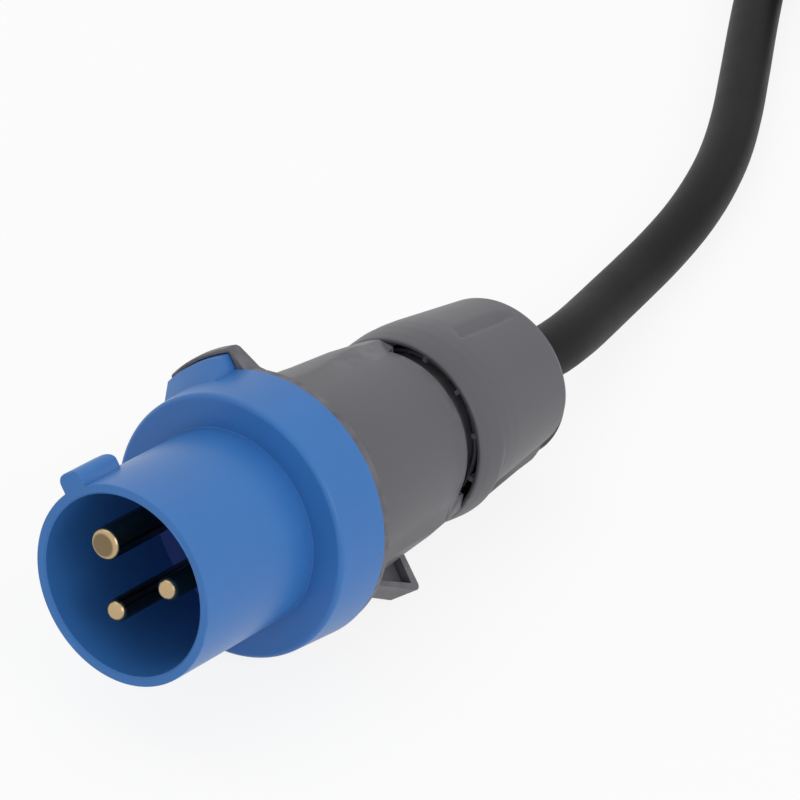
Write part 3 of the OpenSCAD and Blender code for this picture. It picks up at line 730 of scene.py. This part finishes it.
def finish_tree(tree, given, put, shape):
    """Ends a tree: instances made real, shaded smooth and given the material."""
    real = result(tree, "GeometryNodeRealizeInstances", {"Geometry": shape})
    smooth = result(tree, "GeometryNodeSetShadeSmooth", {"Geometry": real, "Shade Smooth": True})
    dressed = result(tree, "GeometryNodeSetMaterial", {"Geometry": smooth, "Material": given["Material"]})
    tree.links.new(dressed, put["Geometry"])


def grow(name, tree, names, values, place):
    """A piece grown by a geometry tree, as a plain mesh moved to its place."""
    piece = add_piece(name, bpy.data.meshes.new(name))
    growth = piece.modifiers.new("growth", "NODES")
    growth.node_group = tree
    for label, value in values.items():
        growth[names[label]] = value
    bake_modifiers(piece)
    piece.data.transform(place)
    return piece


def thread_tree():
    """A helical thread round Z: a trapezoid swept along a spiral, running out at both ends."""
    sizes = ("Pitch", "Turns", "Root Radius", "Depth", "Root Width", "Crest Width")
    tree, given, put, names = node_tree("helical_thread", dict.fromkeys(sizes, "Float"))
    spiral = result(tree, "GeometryNodeCurveSpiral", {
        "Resolution": 72, "Rotations": given["Turns"], "Start Radius": given["Root Radius"],
        "End Radius": given["Root Radius"],
        "Height": calculate(tree, "MULTIPLY", given["Pitch"], given["Turns"])})
    upright = result(tree, "GeometryNodeSetCurveNormal", {"Curve": spiral}, mode="Z_UP")
    along = tree.nodes.new("GeometryNodeSplineParameter").outputs["Factor"]
    rise, fall = [result(tree, "ShaderNodeMapRange", {"Value": along, "From Min": start, "From Max": end},
                         interpolation_type="SMOOTHSTEP") for start, end in ((0.0, 0.06), (1.0, 0.94))]
    size = calculate(tree, "MAXIMUM", calculate(tree, "MINIMUM", rise, fall), 0.02)
    section = result(tree, "GeometryNodeCurvePrimitiveQuadrilateral", {
        "Height": given["Depth"], "Bottom Width": given["Root Width"], "Top Width": given["Crest Width"],
        "Offset": 0.0}, mode="TRAPEZOID")
    turned = result(tree, "GeometryNodeTransform", {"Geometry": section, "Rotation": (0, 0, -math.pi / 2)})
    sweep = result(tree, "GeometryNodeCurveToMesh", {
        "Curve": upright, "Profile Curve": turned, "Scale": size, "Fill Caps": True})
    finish_tree(tree, given, put, sweep)
    return tree, names


def rib_tree():
    """Ribs that stand in a ring round Z, each a block with its middle on the ring."""
    sizes = ("Radius", "Reach", "Width", "Length")
    tree, given, put, names = node_tree("ring_of_ribs", {"Count": "Int", **dict.fromkeys(sizes, "Float")})
    spots = result(tree, "GeometryNodeMeshCircle", {"Vertices": given["Count"], "Radius": given["Radius"]})
    number = result(tree, "GeometryNodeInputIndex")
    step = calculate(tree, "DIVIDE", math.tau, given["Count"])
    way = result(tree, "ShaderNodeCombineXYZ", {"Z": calculate(tree, "MULTIPLY", number, step)})
    size = result(tree, "ShaderNodeCombineXYZ", {
        "X": given["Reach"], "Y": given["Width"], "Z": given["Length"]})
    block = result(tree, "GeometryNodeMeshCube", {"Size": size})
    ribs = result(tree, "GeometryNodeInstanceOnPoints", {"Points": spots, "Instance": block, "Rotation": way})
    finish_tree(tree, given, put, ribs)
    return tree, names


def stitch_tree():
    """Stitches round a rectangle in XY: short rounded threads that lie along its sides."""
    sizes = ("Width", "Height", "Spacing", "Stitch", "Thread")
    tree, given, put, names = node_tree("box_of_stitches", dict.fromkeys(sizes, "Float"))
    border = result(tree, "GeometryNodeCurvePrimitiveQuadrilateral", {
        "Width": given["Width"], "Height": given["Height"]})
    spots = add(tree, "GeometryNodeCurveToPoints", {"Curve": border, "Length": given["Spacing"]},
                mode="LENGTH").outputs
    ball = result(tree, "GeometryNodeMeshIcoSphere", {"Radius": 0.5, "Subdivisions": 2})
    size = result(tree, "ShaderNodeCombineXYZ", {
        "X": given["Thread"], "Y": given["Thread"], "Z": given["Stitch"]})
    thread = result(tree, "GeometryNodeTransform", {"Geometry": ball, "Scale": size})
    stitches = result(tree, "GeometryNodeInstanceOnPoints", {
        "Points": spots["Points"], "Instance": thread, "Rotation": spots["Rotation"]})
    finish_tree(tree, given, put, stitches)
    return tree, names


# ---- The cable's route ----


def ease(start, end, at):
    """Goes smoothly from 0 to 1 between two stations."""
    t = min(1.0, max(0.0, (at - start) / (end - start)))
    return t * t * (3 - 2 * t)


def coil_place(radius, turn, height):
    """A point in millimetres from cylinder coordinates about the coil's upright axis."""
    x, y = COIL_CENTRE
    return Vector((x + radius * math.cos(turn), y + radius * math.sin(turn), height))


def coil_point(sweep):
    """A point of the coil: an outer turn, an inner one beside it, and a third over the groove between."""
    outer, inner = COIL_RADIUS + SHEATH_RADIUS, COIL_RADIUS - SHEATH_RADIUS
    radius = outer + (inner - outer) * ease(*COIL_STEP_IN, sweep)
    radius += (COIL_RADIUS - inner) * ease(*COIL_STEP_OUT, sweep)
    climb = 2 * SHEATH_RADIUS + 0.15
    height = COIL_BASE + climb * ease(*COIL_CLIMB, sweep)
    height += (COIL_TOP - COIL_BASE - climb) * ease(*COIL_SETTLE, sweep)
    return coil_place(radius, math.radians(COIL_ENTRY - sweep), height)


def tail_points():
    """The points of the cable's end, which leaves the coil's top turn straight, in millimetres."""
    last = Vector((COIL_CENTRE[0], COIL_CENTRE[1] - COIL_RADIUS, COIL_TOP))
    return [last + Vector((dx, 0, dz)) for dx, dz in TAIL]


def cable_route():
    """The whole route from the gland nut to the stripped end, in metres."""
    start = [on_plug(0, 0, NUT_END), on_plug(0, 0, NUT_END + LEAD_STRAIGHT)]
    coil = [coil_point(6 * k) for k in range(int(COIL_SWEEP // 6) + 1)] + [coil_point(COIL_SWEEP)]
    rest = [Vector(point) for point in LEAD] + coil + tail_points()
    return smooth_path(start + [point * MM for point in rest], 4 * MM)


# ---- Operators ----


class PLUG_OT_camera(bpy.types.Operator):
    """Place the camera that looks into the shroud from above and to its left"""

    bl_idname = "plug.place_camera"
    bl_label = "Camera"

    def execute(self, context):
        lens = bpy.data.cameras.new("plug_camera")
        lens.sensor_width = 36
        lens.lens = 225
        camera = bpy.data.objects.new("plug_camera", lens)
        context.scene.collection.objects.link(camera)
        place = Vector((-0.7248548, -0.5176994, 0.6056734))
        right = Vector((0.58019149, -0.81396626, 0.02892699))
        ahead = Vector((0.69890331, 0.4793098, -0.53084488))
        turn = Matrix((right, right.cross(ahead), -ahead)).transposed().to_4x4()
        camera.matrix_world = Matrix.Translation(place) @ turn
        context.scene.camera = camera
        return {"FINISHED"}


class PLUG_OT_straps(bpy.types.Operator):
    """Bind the coil with two woven straps, each closed by a stitched box"""

    bl_idname = "plug.bind_coil"
    bl_label = "Straps"

    def execute(self, context):
        tree, names = stitch_tree()
        for name, azimuth in STRAPS.items():
            middle = math.radians(azimuth) + STRAP_WIDTH / COIL_RADIUS / 2
            strap = add_piece(f"{name}_weave", self.weave(name, middle))
            seat(strap, "plug", "strap_fabric", context, name)
            box = grow(f"{name}_stitches", tree, names, {
                "Width": 8 * MM, "Height": 9 * MM, "Spacing": 1.7 * MM, "Stitch": 1.3 * MM,
                "Thread": 0.5 * MM, "Material": soft_moulding(f"{name}_thread", (0.16, 0.16, 0.17), 0.6),
            }, self.seam(middle))
            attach(box, "plug")
        return {"FINISHED"}

    def weave(self, name, middle):
        """The strap's band round the three turns, with a UV map in metres round it and across it."""
        half, thick, rounding = STRAP_WIDTH / 2, STRAP_THICKNESS, 0.2
        section = [(0.05, -half + rounding), (0.05, half - rounding), (0.25, half),
                   (thick - rounding, half), (thick, half - rounding), (thick, -half + rounding),
                   (thick - rounding, -half), (0.25, -half)]
        bends = ((COIL_RADIUS + SHEATH_RADIUS, COIL_BASE, -90), (COIL_RADIUS, COIL_TOP, 30),
                 (COIL_RADIUS - SHEATH_RADIUS, COIL_BASE, 150))
        rings = []
        for radius, height, start in bends:
            for turn in (math.radians(start + 15 * k) for k in range(9)):
                rings.append([coil_place(radius + (SHEATH_RADIUS + lift) * math.cos(turn),
                                         middle + across / COIL_RADIUS,
                                         height + (SHEATH_RADIUS + lift) * math.sin(turn)) * MM
                              for lift, across in section])
        mesh = ring_mesh(name, rings)
        outer = section.index((thick, half - rounding))
        gone = [0.0]
        for before, after in zip(rings, rings[1:] + rings[:1]):
            gone.append(gone[-1] + (after[outer] - before[outer]).length)
        layer = mesh.uv_layers.new(name="along")
        count, last = len(section), len(rings) - 1
        for polygon in mesh.polygons:
            closes = {index // count for index in polygon.vertices} == {0, last}
            for loop, index in zip(polygon.loop_indices, polygon.vertices):
                ring = index // count
                around = gone[last + 1] if closes and ring == 0 else gone[ring]
                layer.data[loop].uv = (around, section[index % count][1] * MM)
        return mesh

    def seam(self, middle):
        """The place of a seam on the strap's flat between the top turn and the outer one."""
        lean = math.radians(30)
        out, up = Vector((math.cos(middle), math.sin(middle), 0)), Vector((0, 0, 1))
        normal = out * math.cos(lean) + up * math.sin(lean)
        rise = up * math.cos(lean) - out * math.sin(lean)
        rest = coil_place(COIL_RADIUS + SHEATH_RADIUS / 2, middle, (COIL_BASE + COIL_TOP) / 2)
        place = (rest + normal * (SHEATH_RADIUS + STRAP_THICKNESS)) * MM
        return Matrix.Translation(place) @ Matrix((rise.cross(normal), rise, normal)).transposed().to_4x4()


class PLUG_OT_cores(bpy.types.Operator):
    """Form the cores at the cable's stripped end, and the earth core inside the plug"""

    bl_idname = "plug.form_cores"
    bl_label = "Cores"

    def execute(self, context):
        before, end = tail_points()[-2:]
        way = (end - before).normalized()
        side = way.cross(Vector((0, 0, 1))).normalized()
        up = side.cross(way)
        for name, (azimuth, fan) in CORES.items():
            turn, path = math.radians(azimuth), []
            for part in (k / 15 for k in range(16)):
                bend = max(0.0, part - CORE_STRAIGHT) ** 2
                path.append((end + way * CORE_BARE * part + side * (CORE_LAY * math.cos(turn) + fan * bend)
                             + up * (CORE_LAY * math.sin(turn) - CORE_DROP * bend)) * MM)
            core = self.core(f"bare_{name}", path)
            seat(core, "plug", f"core_{name}", context, f"end_core_{name}")
        start = front_of(frame["nodes"]["core_green_yellow"].data)
        path = []
        for part in (k / 21 for k in range(22)):
            radius = PIN_CIRCLE + (CORE_LAY - PIN_CIRCLE) * ease(0.12, 0.88, part)
            path.append(on_plug(radius, 0, start + (CORE_SPLIT - start) * part))
        seat(self.core("inner_green_yellow", path), "plug", "core_green_yellow", context, "core_green_yellow")
        return {"FINISHED"}

    def core(self, name, path):
        return add_piece(name, tube_mesh(name, path, CORE_RADIUS * MM, 20))


class PLUG_OT_supply_cable(bpy.types.Operator):
    """Lay the rubber cable from the gland nut to its stripped end"""

    bl_idname = "plug.lay_cable"
    bl_label = "Supply cable"

    def execute(self, context):
        route = cable_route()
        sides = context.scene.plug_cable.sides
        mesh = tube_mesh("supply_cable", route, SHEATH_RADIUS * MM, sides, 0.35 * MM)
        sheath = add_piece("supply_cable", mesh)
        seat(sheath, "plug", "black_rubber", context, "cable_lead", "cable_coil", "cable_end")
        return {"FINISHED"}


class PLUG_OT_shroud(bpy.types.Operator):
    """Round and finish the blue shroud and its flange"""

    bl_idname = "plug.finish_shroud"
    bl_label = "Shroud"

    def execute(self, context):
        shroud = merged_copy("shroud", "front_shroud")
        round_edges(shroud, context.scene.plug_finish.edge_radius, 3)
        seat(shroud, "plug", "blue_polyamide", context, "front_shroud")
        return {"FINISHED"}


class PLUG_OT_contacts(bpy.types.Operator):
    """Finish the carrier and the three pins"""

    bl_idname = "plug.finish_contacts"
    bl_label = "Contacts"

    def execute(self, context):
        carrier = merged_copy("carrier", "contact_carrier")
        round_edges(carrier, 0.2 * MM)
        seat(carrier, "plug", "carrier_blue", context, "contact_carrier")
        for pole, (azimuth, radius, rounding) in PINS.items():
            pin = merged_copy(f"{pole}_contact", f"pin_{pole}")
            self.round_tip(pin, math.radians(azimuth), radius, rounding)
            round_edges(pin, 0.12 * MM)
            seat(pin, "plug", "pin_brass", context, f"pin_{pole}")
        return {"FINISHED"}

    def round_tip(self, pin, turn, radius, rounding):
        """Turns the shank's end to a full quarter round, and marks its rounding for a painted reflection; a
        large tip's flat face stays out of it and darker.
        """
        middle = Vector((math.cos(turn), math.sin(turn))) * PIN_CIRCLE
        tip = front_of(pin.data)
        with editing(pin.data) as work:
            for k in range(1, TIP_CUTS + 1):
                cut_across(work, tip + rounding * (1 - math.cos(math.pi / 2 * k / TIP_CUTS)))
            for vert in work.verts:
                local = (TO_PLUG @ vert.co) / MM
                depth = max(0.0, local.z - tip)
                if depth < rounding - CLOSE:
                    limit = radius - rounding + math.sqrt(rounding ** 2 - (rounding - depth) ** 2)
                    out = local.xy - middle
                    if out.length > limit:
                        out *= limit / out.length
                    vert.co = on_plug(middle.x + out.x, middle.y + out.y, local.z)
        # A mask that brightens the tip's rounding as a painted reflection; a large tip's flat face stays out
        # of it and darker.
        polish_and_glint = pin.data.attributes.new("polish_and_glint", "FLOAT", "POINT")
        for vert, value in zip(pin.data.vertices, polish_and_glint.data):
            depth = (TO_PLUG @ vert.co).z / MM - tip
            face = ease(-0.01, 0.1, depth) if rounding < radius / 2 else 1.0
            value.value = face * (1 - ease(rounding * 0.6, rounding, depth)) * TIP_GLINT


class PLUG_OT_housing(bpy.types.Operator):
    """Round and finish the grey housing with its lug and hook, and cut the neck's thread"""

    bl_idname = "plug.finish_housing"
    bl_label = "Housing"

    def execute(self, context):
        housing = merged_copy("rear_housing", "housing", self.deepen, PANEL_CUT)
        self.crease(housing)
        round_edges(housing, context.scene.plug_finish.edge_radius, 3)
        seat(housing, "plug", "grey_polyamide", context, "housing")
        thread = context.scene.plug_thread
        tree, names = thread_tree()
        turns = (THREAD_END - THREAD_START) * MM / thread.pitch
        helix = grow("neck_thread", tree, names, {
            "Pitch": thread.pitch, "Turns": turns, "Root Radius": thread.crest_radius - thread.depth * 0.5,
            "Depth": thread.depth, "Root Width": thread.pitch * 0.72, "Crest Width": thread.pitch * 0.22,
            "Material": finish_of("grey_polyamide", context),
        }, PLUG_AXES @ Matrix.Translation((0, 0, THREAD_START * MM)))
        seat(helix, "plug", "grey_polyamide", context)
        return {"FINISHED"}

    def crease(self, housing):
        """Keeps the long shallow edges of the side bands crisp."""
        with editing(housing.data) as work:
            for edge in work.edges:
                run = edge.verts[1].co - edge.verts[0].co
                lengthways = run.length > 6 * MM and abs(run.normalized().dot(AXIS)) > 0.8
                if lengthways and abs(edge.calc_face_angle_signed(0.0)) > math.radians(4.5):
                    edge.smooth = False

    def deepen(self, radius, azimuth, station):
        """Carries the side panels on to the lip, and turns the neck down to the thread's root."""
        past = (station - PANEL_REAR[1]) / (PANEL_END - PANEL_REAR[1])
        low, high = NECK_SHOULDER - MARGIN, PANEL_REAR[0] + PANEL_REACH
        if -MARGIN < past < 1 + MARGIN and low < radius < high:
            station = PANEL_REAR[1] + PANEL_SHIFT + past * PANEL_CHAMFER
            if radius < NECK_SHOULDER + MARGIN:
                return NECK_FOOT, azimuth, station
            slope = (PANEL_FRONT[0] - PANEL_REAR[0]) / (PANEL_REAR[1] - PANEL_FRONT[1])
            return PANEL_REAR[0] - slope * PANEL_SHIFT - past * PANEL_CHAMFER / 2, azimuth, station
        if abs(radius - NECK_SHOULDER) < MARGIN and station > PANEL_END:
            return NECK_FOOT, azimuth, station
        if NECK_ROOT < radius < low and station > THREAD_START - 1:
            return radius - (NECK_CREST - NECK_ROOT), azimuth, station
        return radius, azimuth, station


class PLUG_OT_gland(bpy.types.Operator):
    """Form the gland nut with its finger hollows, grip grooves and ribbed lip"""

    bl_idname = "plug.form_gland"
    bl_label = "Gland nut"

    def execute(self, context):
        turns = [360 * k / NUT_SIDES for k in range(NUT_SIDES)]
        rings = [[polar(self.hollowed(radius, turn, z), turn, z) for turn in turns]
                 for radius, z in nut_outside()]
        rings += [[polar(radius, turn, z) for turn in turns] for radius, z in nut_inside()]
        nut = add_piece("gland_cap", ring_mesh("gland_cap", rings))
        seat(nut, "gland_nut", "grey_polyamide", context, "gland_nut")
        tree, names = rib_tree()
        reach = LIP_BORE_R - NECK_CREST - RIB_CLEARANCE
        turn = Matrix.Rotation(math.radians(RIB_TURN), 4, "Z") @ Matrix.Translation((0, 0, RIB_MIDDLE * MM))
        ribs = grow("lip_ribs", tree, names, {
            "Count": RIB_COUNT, "Radius": (LIP_BORE_R - reach / 2 + RIB_SINK) * MM, "Reach": reach * MM,
            "Width": 1.1 * MM, "Length": 4.2 * MM, "Material": finish_of("grey_polyamide", context),
        }, PLUG_AXES @ turn)
        round_edges(ribs, 0.15 * MM)
        seat(ribs, "gland_nut", "grey_polyamide", context)
        return {"FINISHED"}

    def hollowed(self, radius, azimuth, station):
        """The radius with hollows and grooves, averaged over a small patch, so that their edges are soft."""
        if not CUT_FROM < station < CUT_TO:
            return radius
        patch = [self.cut_radius(azimuth + turn, station + shift) for turn in SOFT_TURNS
                 for shift in SOFT_SHIFTS]
        return sum(min(radius, left) for left in patch) / len(patch)

    def cut_radius(self, azimuth, station):
        """The radius that the finger hollow and the grip groove leave at a spot."""
        surface = nut_radius(station)
        azimuth %= 180
        swing = math.radians(azimuth - HOLLOW_START)
        left = FAR
        if 0 < swing < math.radians(HOLLOW_SPAN):
            shift, inner = HOLLOW_DEPTH + 0.05, surface - HOLLOW_DEPTH
            floor = shift * math.cos(swing) + math.sqrt(max(0.0, inner ** 2 - (shift * math.sin(swing)) ** 2))
            left = max(floor, HOLLOW_FOOT + NUT_R - station, flank_radius(azimuth))
        over = math.radians(azimuth - GROOVE_AZIMUTH) * surface
        width = GROOVE_SLOPE if over < 0 else GROOVE_WALL
        across = min(1.0, max(0.0, 1 - abs(over) / width))
        along = ease(*GROOVE_FRONT, station + over * GROOVE_LEAN) * (1 - ease(*GROOVE_BACK, station))
        return min(left, surface - GROOVE_DEPTH * across * along)


def nut_outside():
    """The nut's outside from its lip to its rounded end, as radii and stations."""
    start = NUT_START + 0.3
    lip = [(NUT_R - 1.15, NUT_START), (NUT_R - 0.95, NUT_START + 0.06), (NUT_R - 0.8, start)]
    steps = round((NUT_FOOT_Z - NUT_START) / 0.45)
    stations = [start + (NUT_FOOT_Z - start) * k / steps for k in range(1, steps + 1)]
    turns = [math.pi / 2 * k / 8 for k in range(1, 9)]
    foot = [(NUT_END_R + NUT_ROUND * math.cos(turn), NUT_FOOT_Z + NUT_ROUND * math.sin(turn))
            for turn in turns]
    return lip + [(nut_radius(z), z) for z in stations] + foot


def nut_inside():
    """The nut's inside from the cable's hole, past the thrust ring's seat, to its lip."""
    hole = [(NUT_HOLE_R + 1.7, NUT_END), (NUT_HOLE_R + 1.45, NUT_END - 0.05),
            (NUT_HOLE_R + 0.1, NUT_END - 1.4), (NUT_HOLE_R, NUT_END - 1.7), (NUT_HOLE_R, NUT_FLOOR + 0.2),
            (NUT_HOLE_R + 0.2, NUT_FLOOR)]
    seat_z, thread_r = RING_Z - 0.3, NECK_CREST + 0.3
    bore = [(SEAL_SEAT_R, NUT_FLOOR), (RING_SEAT_R, RING_Z + 2.2), (RING_SEAT_R, seat_z), (thread_r, seat_z),
            (thread_r, NUT_START + 5.5)]
    lip = [(LIP_BORE_R, NUT_START + 4.5), (LIP_BORE_R, NUT_START + 0.3), (LIP_BORE_R + 0.3, NUT_START)]
    return hole + bore + lip


def nut_radius(station):
    """The gland nut's outside radius at a station."""
    for (start, low), (end, high) in zip(NUT_PROFILE, NUT_PROFILE[1:]):
        if station <= end:
            return low + (high - low) * (station - start) / (end - start)
    return math.sqrt(max(0.0, NUT_ROUND ** 2 - (station - NUT_FOOT_Z) ** 2)) + NUT_END_R


def flank_radius(azimuth):
    """Where a ray meets the steep flank that ends the finger hollow, or 0 for a ray before it."""
    if azimuth < FLANK[0][1]:
        return 0.0
    first, second = [Vector((radius * math.cos(math.radians(turn)), radius * math.sin(math.radians(turn))))
                     for radius, turn in FLANK]
    way = second - first
    ray = Vector((math.cos(math.radians(azimuth)), math.sin(math.radians(azimuth))))
    across = ray.x * way.y - ray.y * way.x
    reach = (first.x * way.y - first.y * way.x) / across if abs(across) > 1e-6 else FAR
    return reach if 0 < reach < FAR else FAR


class PLUG_OT_inner_parts(bpy.types.Operator):
    """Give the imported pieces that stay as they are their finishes"""

    bl_idname = "plug.finish_inner_parts"
    bl_label = "Inner parts"

    def execute(self, context):
        slots = recipes(context.scene.plug_finish, context.scene.plug_cable)
        for node in frame["nodes"].values():
            for held in node.material_slots:
                if held.material and held.material.name in slots:
                    held.material = finish_of(held.material.name, context)
        return {"FINISHED"}


class PLUG_OT_stage(bpy.types.Operator):
    """Lay the floor and set the lights"""

    bl_idname = "plug.set_stage"
    bl_label = "Stage"

    def execute(self, context):
        stage = context.scene.plug_stage
        self.lay_floor(stage)
        self.light_sky(context, stage)
        self.hang_light("key", Vector((0.10, 0.55, 1.25)), 1.1, stage.key_power)
        self.hang_light("fill", Vector((-0.2, -1.3, 0.7)), 0.9, stage.fill_power)
        context.scene.view_settings.view_transform = "Standard"
        return {"FINISHED"}

    def lay_floor(self, stage, half=6.0):
        """A wide pale floor, which looks nearly white to the camera and in mirrors, and keeps its shadows."""
        mesh = bpy.data.meshes.new("floor")
        corners = [(-half, -half, 0), (half, -half, 0), (half, half, 0), (-half, half, 0)]
        mesh.from_pydata(corners, [], [(0, 1, 2, 3)])
        floor = add_piece("floor", mesh)
        material, tree, shader, spot = new_material("floor_paper")
        clouds = mottled(tree, spot, 3.0, 0.6)
        tones = [tinted(stage.floor_colour, factor) for factor in (0.99, 1.01)]
        tree.links.new(two_tone(tree, clouds, *tones), shader.inputs["Base Color"])
        shader.inputs["Roughness"].default_value = 0.9
        shader.inputs["Specular IOR Level"].default_value = 0.1
        glow = result(tree, "ShaderNodeEmission", {"Color": WHITE, "Strength": 1.0})
        share = calculate(tree, "MULTIPLY", self.seen_rays(tree), 0.86)
        mix = result(tree, "ShaderNodeMixShader", {0: share, 1: shader.outputs[0], 2: glow})
        tree.links.new(mix, tree.nodes["Material Output"].inputs["Surface"])
        mesh.materials.append(material)

    def light_sky(self, context, stage):
        """Even light all round, which is plain white to the camera and in mirrors."""
        world = bpy.data.worlds.new("studio")
        context.scene.world = world
        world.use_nodes = True
        tree = world.node_tree
        even = tree.nodes["Background"]
        even.inputs["Color"].default_value = WHITE
        even.inputs["Strength"].default_value = stage.sky_strength
        white = result(tree, "ShaderNodeBackground", {"Color": WHITE, "Strength": 1.0})
        mix = result(tree, "ShaderNodeMixShader", {0: self.seen_rays(tree), 1: even.outputs[0], 2: white})
        tree.links.new(mix, tree.nodes["World Output"].inputs["Surface"])

    def seen_rays(self, tree):
        """1 for rays from the camera, off metal or through glass, and 0 for the rest."""
        rays = tree.nodes.new("ShaderNodeLightPath").outputs
        mirrored = calculate(tree, "ADD", rays["Is Glossy Ray"], rays["Is Transmission Ray"])
        return calculate(tree, "ADD", rays["Is Camera Ray"], mirrored, clamp=True)

    def hang_light(self, name, place, size, power):
        """A square light that points at the plug."""
        lamp = bpy.data.lights.new(name, "AREA")
        lamp.shape = "SQUARE"
        lamp.size = size
        lamp.energy = power
        holder = bpy.data.objects.new(name, lamp)
        turn = (Vector((0.0, 0.0, 0.03)) - place).to_track_quat("-Z", "Y").to_matrix().to_4x4()
        holder.matrix_world = Matrix.Translation(place) @ turn
        bpy.context.scene.collection.objects.link(holder)


PIECES = [PLUG_OT_camera, PLUG_OT_straps, PLUG_OT_cores, PLUG_OT_supply_cable, PLUG_OT_shroud,
          PLUG_OT_contacts, PLUG_OT_housing, PLUG_OT_gland, PLUG_OT_inner_parts, PLUG_OT_stage]
SETTINGS = {"plug_finish": PlugFinishSettings, "plug_thread": PlugThreadSettings, "plug_cable": CableSettings,
            "plug_stage": PlugStageSettings}


class PLUG_PT_pieces(bpy.types.Panel):
    """The plug's pieces and settings"""

    bl_idname = "PLUG_PT_pieces"
    bl_label = "Pin and Sleeve Plug"
    bl_space_type = "VIEW_3D"
    bl_region_type = "UI"
    bl_category = "Plug"

    def draw(self, context):
        for name, group in SETTINGS.items():
            box = self.layout.box()
            for setting in group.__annotations__:
                box.prop(getattr(context.scene, name), setting)
        for piece in PIECES:
            self.layout.operator(piece.bl_idname)


def register():
    for name, group in SETTINGS.items():
        bpy.utils.register_class(group)
        setattr(bpy.types.Scene, name, bpy.props.PointerProperty(type=group))
    for piece in [*PIECES, PLUG_PT_pieces]:
        bpy.utils.register_class(piece)


def unregister():
    for piece in reversed([*PIECES, PLUG_PT_pieces]):
        bpy.utils.unregister_class(piece)
    for name, group in SETTINGS.items():
        delattr(bpy.types.Scene, name)
        bpy.utils.unregister_class(group)


def main():
    register()
    for piece in PIECES:
        group, action = piece.bl_idname.split(".")
        getattr(getattr(bpy.ops, group), action)()


if __name__ == "__main__":
    main()
